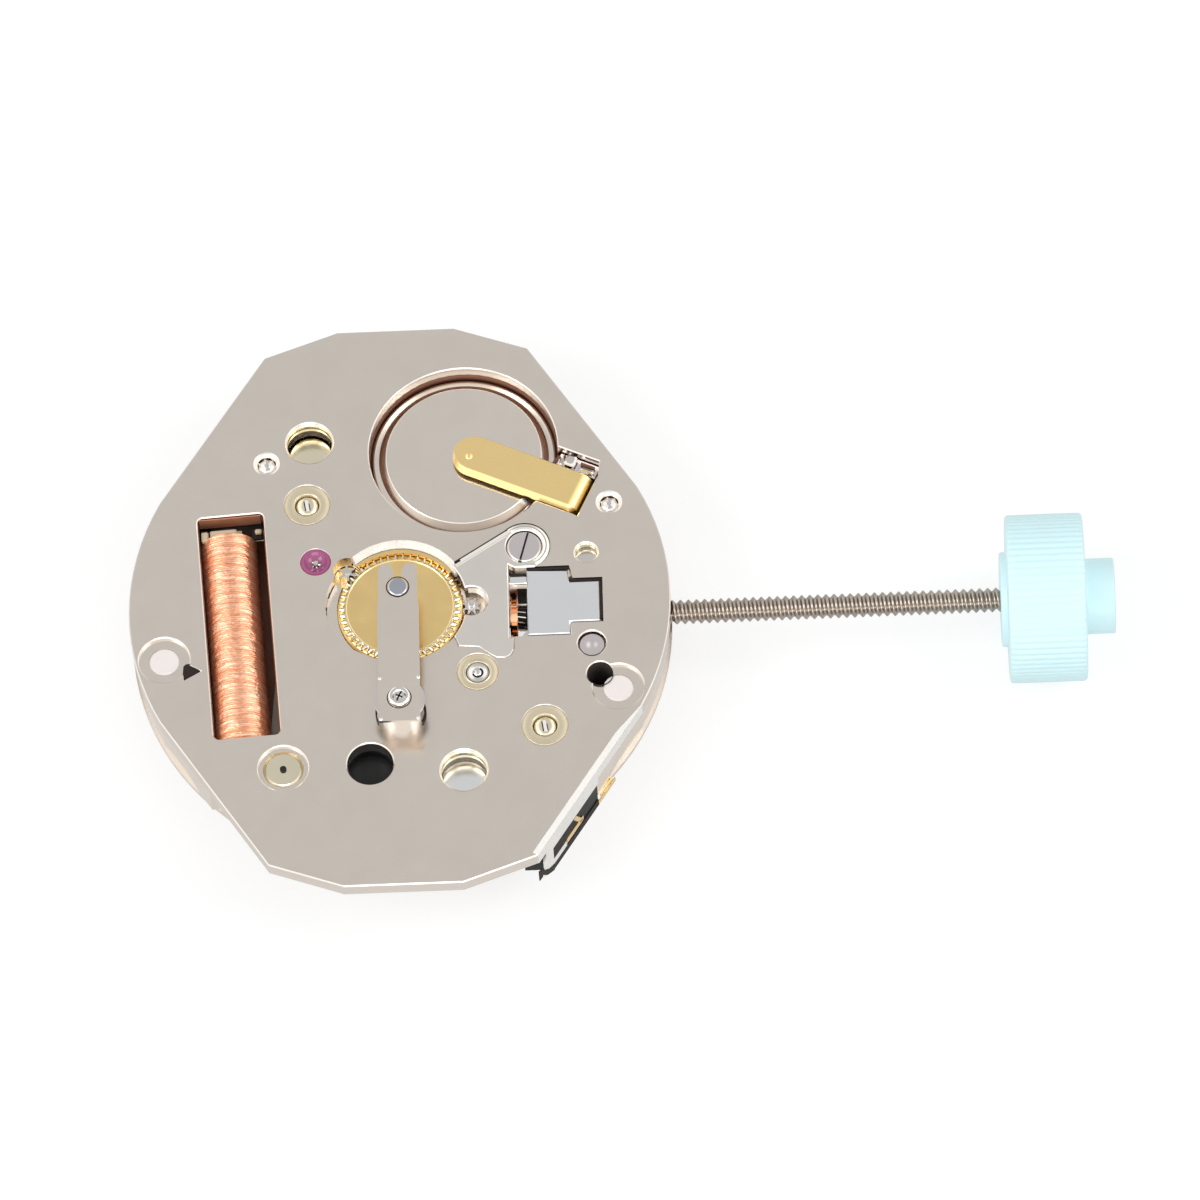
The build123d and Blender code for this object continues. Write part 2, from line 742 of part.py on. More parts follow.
# Main plate: nickel plate that carries the wheels, pocketed from both sides
with BuildPart() as main_plate:
    extrude(outline(main_bottom, main_inset), amount=main_plate_t)
    split_low = beyond_face(main_bottom, -plate_half_length * 2, -circuit_split_y)
    extrude(split_low, amount=main_plate_t, mode=Mode.SUBTRACT)
    with BuildSketch(Plane.XY.offset(main_bottom)):
        with Locations(battery_place):
            Circle(battery_hole_r)
        with Locations(foot_place, left_foot_place):
            Circle(foot_clamp_r)
        with Locations(coil_pillar_place):
            Circle(coil_pillar_r)
        with Locations(crystal_hole_place):
            Circle(crystal_hole_r)
        with Locations(deep_hole_place):
            Circle(deep_hole_r)
        with Locations(resin_hole_place):
            Circle(resin_hole_r + part_gap * 3)
        with Locations(ground_pin_place, pin_a_place, pin_b_place):
            Circle(pin_r)
        with Locations(seconds_axis):
            Circle(centre_arbor_r + running_gap)
        with Locations(setting_axis):
            Circle(pin_r / 2)
        with Locations(Location((window_x, coil_y), coil_tilt)):
            Rectangle(window_width, window_length)
    extrude(amount=main_plate_t, mode=Mode.SUBTRACT)
    coil_low = coil_bottom_end - flange_t - coil_clearance
    coil_high = coil_top_end + flange_t + coil_clearance
    coil_pocket = coil_box(main_bottom, coil_low, coil_high, coil_half_gap * 2)
    extrude(coil_pocket, amount=main_plate_t, mode=Mode.SUBTRACT)
    extrude(disc_face(train_floor, seconds_axis, train_pocket_r), amount=main_plate_t, mode=Mode.SUBTRACT)
    pocket_r = third_tip_r + wheel_pocket_gap
    pocket_level = third_level - end_gap
    extrude(disc_face(pocket_level, third_axis, pocket_r), amount=main_plate_t, mode=Mode.SUBTRACT)
    pocket_r = fifth_tip_r + wheel_pocket_gap
    extrude(disc_face(pocket_level, fifth_axis, pocket_r), amount=main_plate_t, mode=Mode.SUBTRACT)
    extrude(disc_face(train_floor, third_axis, lobe_r), amount=main_plate_t, mode=Mode.SUBTRACT)
    extrude(disc_face(train_floor, setting_axis, lobe_r), amount=main_plate_t, mode=Mode.SUBTRACT)
    pivot_level = train_floor - dial_plate_t
    for place in (third_axis, fifth_axis):
        extrude(disc_face(pivot_level, place, pilot_r / 2), amount=main_plate_t, mode=Mode.SUBTRACT)
    rotor_floor = stator_z - dial_plate_t
    extrude(disc_face(rotor_floor, rotor_axis, rotor_hole_r), amount=main_plate_t, mode=Mode.SUBTRACT)
    rotor_pivot = disc_face(rotor_floor - dial_plate_t, rotor_axis, jewel_bore_r)
    extrude(rotor_pivot, amount=main_plate_t, mode=Mode.SUBTRACT)
    for start, end in stator_links:
        face = link_face(stator_z, start, end, stator_arm * 2 + part_gap)
        extrude(face, amount=main_plate_t, mode=Mode.SUBTRACT)
    face = disc_face(stator_z, rotor_axis, stator_ring_r + part_gap)
    extrude(face, amount=main_plate_t, mode=Mode.SUBTRACT)
    for start, end in core_links:
        face = link_face(stator_z + stator_t, start, end, core_width * 2 + part_gap)
        extrude(face, amount=main_plate_t, mode=Mode.SUBTRACT)
    dial_depth = dial_pocket_top - main_bottom
    dial_wheels = (
        (seconds_axis, hour_tip_r),
        (minute_axis, minute_tip_r),
        (setting_axis, setting_r),
    )
    for place, radius in dial_wheels:
        face = disc_face(main_bottom, place, radius + wheel_pocket_gap)
        extrude(face, amount=dial_depth, mode=Mode.SUBTRACT)
    extrude(disc_face(hour_level, minute_axis, pin_r / 3), amount=dial_pocket_top - hour_level)
    clutch_pocket = box_face(
        main_bottom,
        window_start - part_gap,
        clutch_end + part_gap,
        -clutch_r - part_gap,
        clutch_r + part_gap,
    )
    extrude(clutch_pocket, amount=main_plate_t, mode=Mode.SUBTRACT)
    hatch = box_face(main_top - lever_t, window_start, guide_start + part_gap, window_bottom_y, window_top_y)
    extrude(hatch, amount=lever_t, mode=Mode.SUBTRACT)
    extrude(stem_face(clutch_start, stem_bore_r), amount=plate_radius, mode=Mode.SUBTRACT)
    pilot_bore = stem_face(pilot_start - part_gap, pilot_r + running_gap)
    extrude(pilot_bore, amount=clutch_length * 2, mode=Mode.SUBTRACT)
    for place in lever_stops:
        face = link_face(lever_level - end_gap, lever_place, place, lever_arm_width + part_gap)
        extrude(face, amount=main_plate_t, mode=Mode.SUBTRACT)
        pin_face = disc_face(stem_z, place, lever_pin_r + part_gap)
        extrude(pin_face, amount=main_plate_t, mode=Mode.SUBTRACT)
    extrude(
        disc_face(lever_level - lever_t, lever_place, lever_head_r + running_gap),
        amount=main_plate_t,
        mode=Mode.SUBTRACT,
    )
    lever_bore = disc_face(stem_z, lever_place, lever_post_r + running_gap)
    extrude(lever_bore, amount=main_plate_t, mode=Mode.SUBTRACT)
    for spread in (0, 1):
        target = (yoke_finger_x - spread * yoke_width / 2, yoke_finger_y)
        face = link_face(yoke_level - end_gap, yoke_place, target, yoke_width + part_gap * 2)
        extrude(face, amount=main_plate_t, mode=Mode.SUBTRACT)
    yoke_bore = disc_face(yoke_level - dial_plate_t, yoke_place, yoke_bush_bore_r)
    extrude(yoke_bore, amount=main_plate_t, mode=Mode.SUBTRACT)
    extrude(strip_slot_face(block_floor), amount=main_plate_t, mode=Mode.SUBTRACT)
    for place, radius in ((foot_hole_place, foot_hole_r), (left_slot_place, foot_hole_r * 0.8)):
        extrude(disc_face(shadow_hole_floor, place, radius), amount=main_plate_t, mode=Mode.SUBTRACT)

main_plate.part.label = "main_plate"
export_step(main_plate.part, "parts/main_plate.step")

# Dial side plate: thin round cover under the motion work
with BuildPart() as dial_side_plate:
    extrude(disc_face(0, seconds_axis, plate_radius), amount=dial_plate_t)
    with BuildSketch(Plane.XY):
        Circle(hour_hub_r + running_gap)
        with Locations(foot_place, left_foot_place):
            Circle(foot_bore_r)
    extrude(amount=dial_plate_t, mode=Mode.SUBTRACT)
    clutch_slot = box_face(
        0,
        window_start - part_gap,
        clutch_end + part_gap,
        -clutch_r - part_gap,
        clutch_r + part_gap,
    )
    extrude(clutch_slot, amount=dial_plate_t, mode=Mode.SUBTRACT)
    coil_slot = coil_box(
        0,
        coil_bottom_end - coil_clearance,
        coil_top_end + coil_clearance,
        coil_half_gap * 2,
    )
    extrude(coil_slot, amount=dial_plate_t, mode=Mode.SUBTRACT)

dial_side_plate.part.label = "dial_side_plate"
export_step(dial_side_plate.part, "parts/dial_side_plate.step")

# Circuit frame: black resin at the lower end, open at its right side
with BuildPart() as circuit_frame:
    extrude(outline(0, resin_inset), amount=main_top)
    extrude(
        beyond_face(0, -circuit_split_y - part_gap, plate_half_length * 2),
        amount=main_top,
        mode=Mode.SUBTRACT,
    )
    extrude(disc_face(dial_plate_t, resin_hole_place, resin_hole_r + part_gap * 2), amount=main_plate_t)
    extrude(
        disc_face(0, seconds_axis, plate_radius + fit_gap),
        amount=dial_plate_t,
        mode=Mode.SUBTRACT,
    )
    resin_floor = bridge_top - resin_hole_depth
    extrude(disc_face(resin_floor, resin_hole_place, resin_hole_r), amount=main_top, mode=Mode.SUBTRACT)
    for place in (crystal_hole_place, coil_pillar_place):
        extrude(disc_face(0, place, crystal_hole_r), amount=main_top, mode=Mode.SUBTRACT)
    board_pocket = box_face(
        board_level,
        board_start - part_gap,
        board_end + part_gap,
        board_low_y - part_gap,
        -circuit_split_y,
    )
    extrude(board_pocket, amount=main_top, mode=Mode.SUBTRACT)
    trough_half = crystal_r + part_gap / 2
    trough = box_face(
        crystal_z - crystal_r,
        crystal_x,
        crystal_x + crystal_length + crystal_lead_length,
        crystal_y - trough_half,
        crystal_y + trough_half,
    )
    extrude(trough, amount=main_top, mode=Mode.SUBTRACT)
    recess = side_box(0, recess_start, recess_end, recess_depth, -overrun)
    extrude(recess, amount=recess_top, mode=Mode.SUBTRACT)
    low_edge = -plate_half_length + resin_foot_inset
    extrude(beyond_face(0, -plate_half_length * 2, low_edge), amount=main_top, mode=Mode.SUBTRACT)
    end_edge = -plate_half_length + resin_end_inset
    end_x = end_flat_half * 2
    end_cut = box_face(0, -plate_radius, end_x, -plate_half_length * 2, end_edge)
    extrude(end_cut, amount=main_top, mode=Mode.SUBTRACT)
    left_cut = side_box(0, 0, plate_radius, resin_left_inset, -overrun)
    extrude(mirror(left_cut, about=Plane.YZ, mode=Mode.PRIVATE), amount=main_top, mode=Mode.SUBTRACT)
    contact_cut = side_box(0, 0, bar_end + part_gap, bar_t + part_gap, -overrun)
    extrude(contact_cut, amount=bar_height + part_gap, mode=Mode.SUBTRACT)

circuit_frame.part.label = "circuit_frame"
export_step(circuit_frame.part, "parts/circuit_frame.step")

# Battery with a rounded rim, on its insulating sheet
with BuildPart() as battery:
    can_side = battery_t - battery_shoulder
    extrude(disc_face(battery_bottom, battery_place, battery_r), amount=can_side)
    with Locations((battery_x, battery_y, battery_top - battery_shoulder / 2)):
        Cone(battery_r, battery_flat_r, battery_shoulder)
    rims = battery.edges().filter_by(GeomType.CIRCLE).sort_by(Axis.Z)
    fillet(rims[0], battery_edge)
    fillet(rims[-1], battery_edge / 2)

battery.part.label = "battery"
export_step(battery.part, "parts/battery.step")

with BuildPart() as battery_insulator:
    sheet_t = battery_bottom - main_bottom
    extrude(disc_face(main_bottom, battery_place, battery_r), amount=sheet_t)

battery_insulator.part.label = "battery_insulator"
export_step(battery_insulator.part, "parts/battery_insulator.step")

# Contact strip: lies on the bridge plate's level and folds down into the slot
with BuildPart() as battery_contact:
    strip_low = strip_top - strip_t
    extrude(link_face(strip_low, on_strip(0), on_strip(strip_width), strip_width), amount=strip_t)
    with BuildSketch(Plane.XY.offset(strip_low)):
        middle = on_strip(strip_reach / 2)
        with Locations(Location(middle, strip_angle)):
            Rectangle(strip_reach, strip_width)
    extrude(amount=strip_t)
    leg_plane = Plane(
        origin=(strip_x, strip_y, 0),
        x_dir=(cos(radians(strip_angle)), sin(radians(strip_angle)), 0),
        z_dir=(sin(radians(strip_angle)), -cos(radians(strip_angle)), 0),
    )
    with BuildSketch(leg_plane.offset(-strip_width / 2)):
        with BuildLine():
            Polyline(
                (strip_reach, strip_top - strip_t),
                (strip_reach, strip_top),
                (strip_leg_along, strip_top),
                (strip_leg_along, strip_leg_end),
                (strip_leg_along - strip_t, strip_leg_end),
                (strip_leg_along - strip_t, strip_top - strip_t),
                close=True,
            )
        make_face()
    extrude(amount=strip_width)
    dimple_place = on_strip(-strip_dimple_r, -strip_dimple_r)
    with Locations((*dimple_place, strip_top + strip_dimple_rise - strip_dimple_r)):
        Sphere(strip_dimple_r)
    along = Vector(cos(radians(strip_angle)), sin(radians(strip_angle)), 0)
    level_edges = battery_contact.edges().filter_by(
        lambda edge: abs((edge @ 0).Z - strip_top) < fit_gap / 2
        and abs((edge @ 1).Z - strip_top) < fit_gap / 2
    )
    fold_edge = level_edges.sort_by(lambda edge: (edge @ 0.5).dot(along))[-1]
    fillet(fold_edge, strip_fold_r)

battery_contact.part.label = "battery_contact"
export_step(battery_contact.part, "parts/battery_contact.step")

# Insulating block in the slot under the strip, with the case contact on it
with BuildPart() as contact_block:
    extrude(strip_slot_face(block_floor), amount=strip_leg_end - block_floor)
    extrude(
        disc_face(block_floor, battery_place, battery_hole_r),
        amount=strip_leg_end - block_floor,
        mode=Mode.SUBTRACT,
    )

contact_block.part.label = "contact_block"
export_step(contact_block.part, "parts/contact_block.step")

with BuildPart() as case_contact:
    contact_place = on_strip(strip_reach, strip_width / 2 + notch_width / 2)
    with BuildSketch(Plane.XY.offset(strip_leg_end)):
        with Locations(Location(contact_place, strip_angle)):
            Rectangle(notch_width, notch_width / 2)
    extrude(amount=notch_top - strip_leg_end)

case_contact.part.label = "case_contact"
export_step(case_contact.part, "parts/case_contact.step")

# Circuit board with its chip and the quartz crystal in a can
with BuildPart() as circuit_board:
    board_high_y = -circuit_split_y - part_gap * 2
    extrude(box_face(board_level, board_start, board_end, board_low_y, board_high_y), amount=board_t)
    for place in (crystal_hole_place, coil_pillar_place):
        extrude(disc_face(board_level, place, crystal_hole_r + part_gap), amount=board_t, mode=Mode.SUBTRACT)
    resin_gap_r = resin_hole_r + part_gap * 3
    extrude(disc_face(board_level, resin_hole_place, resin_gap_r), amount=board_t, mode=Mode.SUBTRACT)

circuit_board.part.label = "circuit_board"
export_step(circuit_board.part, "parts/circuit_board.step")

with BuildPart() as ic_chip:
    chip_high = -circuit_split_y - crystal_hole_r * 0.2
    extrude(
        box_face(
            board_level + board_t,
            chip_x - chip_width / 2,
            chip_x + chip_width / 2,
            chip_high - chip_length,
            chip_high,
        ),
        amount=chip_t,
    )

ic_chip.part.label = "ic_chip"
export_step(ic_chip.part, "parts/ic_chip.step")

with BuildPart() as quartz_crystal:
    with BuildSketch(Plane.YZ.offset(crystal_x)):
        with Locations((crystal_y, crystal_z)):
            Circle(crystal_r)
    extrude(amount=crystal_length)
    fillet(quartz_crystal.edges().filter_by(GeomType.CIRCLE), crystal_r / 5)
    with BuildSketch(Plane.YZ.offset(crystal_x + crystal_length)):
        with Locations((crystal_y, crystal_z + crystal_r / 3), (crystal_y, crystal_z - crystal_r / 3)):
            Circle(crystal_lead_r)
    extrude(amount=crystal_lead_length)

quartz_crystal.part.label = "quartz_crystal"
export_step(quartz_crystal.part, "parts/quartz_crystal.step")


# Face across the coil's axis, at a distance along it
def coil_plane(along):
    lean = radians(coil_tilt)
    place = on_coil(along)
    return Plane(
        origin=(place[0], place[1], coil_z),
        x_dir=(cos(lean), sin(lean), 0),
        z_dir=(-sin(lean), cos(lean), 0),
    )


# Winding of the coil on its core, waisted in the middle
with BuildPart() as coil_winding:
    axis_plane = coil_plane(0)
    with BuildSketch(Plane(origin=axis_plane.origin, x_dir=axis_plane.x_dir, z_dir=(0, 0, 1))):
        with BuildLine():
            Line((0, coil_bottom_end), (coil_r, coil_bottom_end))
            ThreePointArc(
                (coil_r, coil_bottom_end),
                (coil_r - coil_waist, (coil_bottom_end + coil_top_end) / 2),
                (coil_r, coil_top_end),
            )
            Polyline((coil_r, coil_top_end), (0, coil_top_end), (0, coil_bottom_end))
        make_face()
    revolve(axis=Axis(axis_plane.origin, axis_plane.z_dir))
    with BuildSketch(coil_plane(coil_bottom_end)):
        Rectangle(core_width, core_t)
    extrude(amount=coil_top_end - coil_bottom_end, mode=Mode.SUBTRACT)

coil_winding.part.label = "coil_winding"
export_step(coil_winding.part, "parts/coil_winding.step")

# Core of the coil: flat bar with an arm at each end
with BuildPart() as coil_core:
    core_low = coil_z - core_t / 2
    extrude(coil_box(core_low, core_bottom_end, core_top_end, core_width), amount=core_t)
    for start, end in core_links:
        extrude(link_face(core_low, start, end, core_width * 1.5), amount=core_t)
    extrude(disc_face(core_low, bush_a_place, stud_r), amount=core_t, mode=Mode.SUBTRACT)
    extrude(disc_face(core_low, coil_pillar_place, coil_pillar_r), amount=core_t, mode=Mode.SUBTRACT)

coil_core.part.label = "coil_core"
export_step(coil_core.part, "parts/coil_core.step")

# Bobbin flanges at both ends of the winding
with BuildPart() as coil_bobbin:
    flange_low = coil_z - flange_height / 2
    for low, high in (
        (coil_top_end, coil_top_end + flange_t),
        (coil_bottom_end - flange_t, coil_bottom_end),
    ):
        extrude(coil_box(flange_low, low, high, flange_width), amount=flange_height)
        extrude(coil_box(coil_z - core_t / 2, low, high, core_width), amount=core_t, mode=Mode.SUBTRACT)

coil_bobbin.part.label = "coil_bobbin"
export_step(coil_bobbin.part, "parts/coil_bobbin.step")

# Stator: soft iron plate that holds the rotor's magnet in its hole
with BuildPart() as stator:
    for start, end in stator_links:
        extrude(link_face(stator_z, start, end, stator_arm * 2), amount=stator_t)
    extrude(disc_face(stator_z, rotor_axis, stator_ring_r), amount=stator_t)
    extrude(disc_face(stator_z, rotor_axis, rotor_hole_r), amount=stator_t, mode=Mode.SUBTRACT)
    extrude(disc_face(stator_z, bush_a_place, stud_r), amount=stator_t, mode=Mode.SUBTRACT)
    extrude(disc_face(stator_z, coil_pillar_place, coil_pillar_r), amount=stator_t, mode=Mode.SUBTRACT)
    notch_end = (rotor_x - rotor_hole_r, rotor_y - rotor_hole_r / 2)
    notch = link_face(stator_z, rotor_axis, notch_end, part_gap * 2)
    extrude(notch, amount=stator_t, mode=Mode.SUBTRACT)

stator.part.label = "stator"
export_step(stator.part, "parts/stator.step")

# Cover over the keyless works, round the lever's head and the setting pinion
with BuildPart() as keyless_cover:
    extrude(cover_face(cover_bottom, 0), amount=cover_t)
    with BuildSketch(Plane.XY.offset(cover_bottom)):
        with Locations(lever_place):
            Circle(lever_head_r + running_gap)
        with Locations(setting_axis):
            Circle(cover_pinion_r)
    extrude(amount=cover_t, mode=Mode.SUBTRACT)
    chamfer(keyless_cover.faces().sort_by(Axis.Z)[-1].edges(), bridge_edge)

keyless_cover.part.label = "keyless_cover"
export_step(keyless_cover.part, "parts/keyless_cover.step")

# Plate over the stem, stepped in at its outer end
with BuildPart() as stem_guide_plate:
    with BuildSketch(Plane.XY.offset(main_top)):
        with BuildLine():
            Polyline(
                (guide_start, guide_bottom_y),
                (guide_step_x, guide_bottom_y),
                (guide_step_x, guide_low_y),
                (guide_end, guide_low_y),
                (guide_end, guide_shoulder_y),
                (guide_step_x, guide_shoulder_y),
                (guide_step_x - part_gap, guide_top_y - part_gap),
                (guide_start, guide_top_y),
                close=True,
            )
        make_face()
    extrude(amount=guide_top - main_top)
    chamfer(stem_guide_plate.faces().sort_by(Axis.Z)[-1].edges(), bridge_edge)

stem_guide_plate.part.label = "stem_guide_plate"
export_step(stem_guide_plate.part, "parts/stem_guide_plate.step")

# Pillar, strap and screw over the seconds wheel
with BuildPart() as strap_pillar:
    strap_bottom = strap_top - strap_t
    extrude(disc_face(main_top, pillar_place, pillar_r / 2), amount=bridge_t)
    extrude(disc_face(bridge_top, pillar_place, pillar_r), amount=strap_bottom - bridge_top)
    collar_level = strap_bottom - pillar_flange_t
    extrude(disc_face(collar_level, pillar_place, pillar_flange_r), amount=pillar_flange_t)
    bore_depth = strap_bottom - bridge_top
    bore = disc_face(bridge_top, pillar_place, strap_screw_shank_r)
    extrude(bore, amount=bore_depth, mode=Mode.SUBTRACT)

strap_pillar.part.label = "strap_pillar"
export_step(strap_pillar.part, "parts/strap_pillar.step")

with BuildPart() as seconds_strap:
    with BuildSketch(Plane.XY.offset(strap_bottom)):
        with BuildLine():
            Polyline(
                (-strap_width / 2, strap_foot_y),
                (strap_width / 2, strap_foot_y),
                (strap_width / 2, strap_neck_y),
                (strap_neck_width / 2, strap_neck_y + strap_corner / 2),
                (strap_neck_width / 2, strap_end_y - strap_corner),
                (strap_neck_width / 2 - strap_corner / 2, strap_end_y),
                (strap_notch_flare / 2, strap_end_y),
                (strap_notch_width / 2, strap_end_y - strap_corner),
                (strap_notch_width / 2, 0),
                (-strap_notch_width / 2, 0),
                (-strap_notch_width / 2, strap_end_y - strap_corner),
                (-strap_notch_flare / 2, strap_end_y),
                (-strap_neck_width / 2 + strap_corner / 2, strap_end_y),
                (-strap_neck_width / 2, strap_end_y - strap_corner),
                (-strap_neck_width / 2, strap_neck_y + strap_corner / 2),
                (-strap_width / 2, strap_neck_y),
                close=True,
            )
        make_face()
        Circle(strap_hole_r, mode=Mode.SUBTRACT)
        with Locations(pillar_place):
            Circle(strap_screw_shank_r, mode=Mode.SUBTRACT)
    extrude(amount=strap_t)

seconds_strap.part.label = "seconds_strap"
export_step(seconds_strap.part, "parts/seconds_strap.step")

with BuildPart() as strap_screw:
    extrude(disc_face(bridge_top, pillar_place, strap_screw_shank_r), amount=strap_top - bridge_top)
    extrude(disc_face(strap_top, pillar_place, strap_screw_r), amount=strap_screw_height)
    rims = strap_screw.edges().filter_by(GeomType.CIRCLE).sort_by(Axis.Z)
    fillet(rims[-1], strap_screw_height / 3)
    slot_level = strap_top + strap_screw_height - screw_slot_depth
    with BuildSketch(Plane.XY.offset(slot_level)):
        with Locations(Location(pillar_place, side_angle * 2)):
            Rectangle(strap_screw_r * 2, screw_slot_width)
    extrude(amount=strap_screw_height, mode=Mode.SUBTRACT)

strap_screw.part.label = "strap_screw"
export_step(strap_screw.part, "parts/strap_screw.step")

# Two brass bushes with the slotted studs that they hold
with BuildPart() as bridge_bushes:
    for place in (bush_a_place, bush_b_place):
        extrude(disc_face(main_top, place, bush_r, bush_bore_r), amount=bridge_t + bush_rise)
    rims = bridge_bushes.edges().filter_by(GeomType.CIRCLE).sort_by(Axis.Z)[-4:]
    outer = [rim for rim in rims if rim.radius > (bush_r + bush_bore_r) / 2]
    inner = [rim for rim in rims if rim.radius < (bush_r + bush_bore_r) / 2]
    chamfer(outer, bush_rise * 2)
    chamfer(inner, bush_rise * 6)

bridge_bushes.part.label = "bridge_bushes"
export_step(bridge_bushes.part, "parts/bridge_bushes.step")

with BuildPart() as bridge_studs:
    for place in (bush_a_place, bush_b_place):
        extrude(disc_face(main_top, place, stud_r), amount=stud_top - main_top)
    fillet(bridge_studs.edges().filter_by(GeomType.CIRCLE).sort_by(Axis.Z)[-2:], stud_r / 3)
    for place in (bush_a_place, bush_b_place):
        with BuildSketch(Plane.XY.offset(stud_top - screw_slot_depth)):
            with Locations(Location(place, side_angle * 3)):
                Rectangle(stud_r * 2 + part_gap, screw_slot_width)
        extrude(amount=screw_slot_depth, mode=Mode.SUBTRACT)

bridge_studs.part.label = "bridge_studs"
export_step(bridge_studs.part, "parts/bridge_studs.step")

# Small fixed pieces that show in the bridge plate's holes
with BuildPart() as yoke_bush:
    extrude(disc_face(main_top, yoke_place, yoke_bush_r, yoke_bush_bore_r), amount=bridge_t + bush_rise)
    chamfer(yoke_bush.edges().filter_by(GeomType.CIRCLE).sort_by(Axis.Z)[-2:], bush_rise * 4)

yoke_bush.part.label = "yoke_bush"
export_step(yoke_bush.part, "parts/yoke_bush.step")

with BuildPart() as rotor_jewel:
    extrude(disc_face(bridge_top - jewel_t, rotor_axis, jewel_r, jewel_bore_r), amount=jewel_t)
    bowl_r = jewel_r * 0.8
    with Locations((rotor_x, rotor_y, bridge_top + jewel_t)):
        Sphere(hypot(bowl_r, jewel_t), mode=Mode.SUBTRACT)

rotor_jewel.part.label = "rotor_jewel"
export_step(rotor_jewel.part, "parts/rotor_jewel.step")

with BuildPart() as coil_pillar:
    pillar_top = bridge_top - coil_pillar_drop
    extrude(disc_face(main_bottom, coil_pillar_place, coil_pillar_r), amount=pillar_top - main_bottom)
    chamfer(coil_pillar.edges().filter_by(GeomType.CIRCLE).sort_by(Axis.Z)[-1], coil_pillar_drop)
    pip = disc_face(pillar_top - coil_pillar_drop, coil_pillar_place, coil_pillar_pip_r)
    extrude(pip, amount=coil_pillar_drop, mode=Mode.SUBTRACT)

coil_pillar.part.label = "coil_pillar"
export_step(coil_pillar.part, "parts/coil_pillar.step")

with BuildPart() as circuit_pillar:
    pillar_height = bridge_top - resin_hole_depth - main_bottom
    extrude(disc_face(main_bottom, crystal_hole_place, crystal_hole_r), amount=pillar_height)
    chamfer(circuit_pillar.edges().filter_by(GeomType.CIRCLE).sort_by(Axis.Z)[-1], part_gap)

circuit_pillar.part.label = "circuit_pillar"
export_step(circuit_pillar.part, "parts/circuit_pillar.step")

with BuildPart() as frame_pillar:
    extrude(disc_face(main_bottom, deep_hole_place, deep_pin_r), amount=deep_pin_top - main_bottom)
    chamfer(frame_pillar.edges().filter_by(GeomType.CIRCLE).sort_by(Axis.Z)[-1], part_gap)

frame_pillar.part.label = "frame_pillar"
export_step(frame_pillar.part, "parts/frame_pillar.step")

with BuildPart() as ground_pin:
    pin_top = bridge_top - ground_pin_drop
    extrude(disc_face(main_bottom, ground_pin_place, pin_r), amount=main_plate_t)
    extrude(disc_face(main_top, ground_pin_place, ground_pin_r), amount=pin_top - main_top)

ground_pin.part.label = "ground_pin"
export_step(ground_pin.part, "parts/ground_pin.step")

with BuildPart() as dome_pin:
    extrude(disc_face(main_top, dome_place, dome_r), amount=bridge_t + dome_sink)
    fillet(dome_pin.edges().filter_by(GeomType.CIRCLE).sort_by(Axis.Z)[-1], dome_sink * 2)

dome_pin.part.label = "dome_pin"
export_step(dome_pin.part, "parts/dome_pin.step")

with BuildPart() as locating_pins:
    for place in (pin_a_place, pin_b_place):
        extrude(disc_face(main_bottom, place, pin_r), amount=bridge_top - pin_sink - main_bottom)
    fillet(locating_pins.edges().filter_by(GeomType.CIRCLE).sort_by(Axis.Z)[-2:], pin_sink)

locating_pins.part.label = "locating_pins"
export_step(locating_pins.part, "parts/locating_pins.step")

# Plugs that clamp the dial's feet, bored from the dial side
with BuildPart() as dial_foot_plugs:
    plug_top = bridge_top - coil_pillar_drop
    for place in (foot_place, left_foot_place):
        extrude(disc_face(main_bottom, place, foot_clamp_r), amount=plug_top - main_bottom)
    chamfer(dial_foot_plugs.edges().filter_by(GeomType.CIRCLE).sort_by(Axis.Z)[-2:], part_gap)
    for place in (foot_place, left_foot_place):
        extrude(
            disc_face(main_bottom, place, foot_bore_r),
            amount=foot_bore_depth,
            mode=Mode.SUBTRACT,
        )

dial_foot_plugs.part.label = "dial_foot_plugs"
export_step(dial_foot_plugs.part, "parts/dial_foot_plugs.step")

# Contacts in and beside the recess of the circuit frame
with BuildPart() as side_tab:
    tab_face = side_box(dial_plate_t, tab_start, tab_end, tab_inset + tab_t, tab_inset)
    extrude(tab_face, amount=tab_top - dial_plate_t)
    extrude(side_box(tab_top - tab_t, tab_start, tab_end, recess_depth, tab_inset), amount=tab_t)

side_tab.part.label = "side_tab"
export_step(side_tab.part, "parts/side_tab.step")

with BuildPart() as side_trace:
    trace_low = dial_plate_t + trace_t
    trace_inner = trace_t
    extrude(
        side_box(trace_low, recess_start, recess_start + trace_t, recess_depth, trace_inner),
        amount=tab_top - trace_low,
    )
    extrude(
        side_box(trace_low, recess_start, recess_start + overrun, trace_inner + trace_width, trace_inner),
        amount=trace_width,
    )

side_trace.part.label = "side_trace"
export_step(side_trace.part, "parts/side_trace.step")

with BuildPart() as rim_contact:
    extrude(side_box(0, bar_start, bar_end, bar_t, 0), amount=bar_height)

rim_contact.part.label = "rim_contact"
export_step(rim_contact.part, "parts/rim_contact.step")

# Rotor: magnet in the stator's hole, with the pinion above it
with BuildPart() as rotor:
    magnet_low = stator_z + (stator_t - rotor_magnet_t) / 2
    extrude(disc_face(magnet_low, rotor_axis, rotor_magnet_r), amount=rotor_magnet_t)
    arbor_low = stator_z - dial_plate_t - dial_plate_t + end_gap
    rotor_arbor_r = jewel_bore_r - running_gap
    extrude(disc_face(arbor_low, rotor_axis, rotor_arbor_r), amount=bridge_top - part_gap - arbor_low)
    leaf_low = third_level - end_gap
    leaf_face = gear_face(leaf_low, rotor_axis, rotor_leaves, rotor_module, rotor_phase, 0)
    extrude(leaf_face, amount=wheel_t + end_gap * 2)

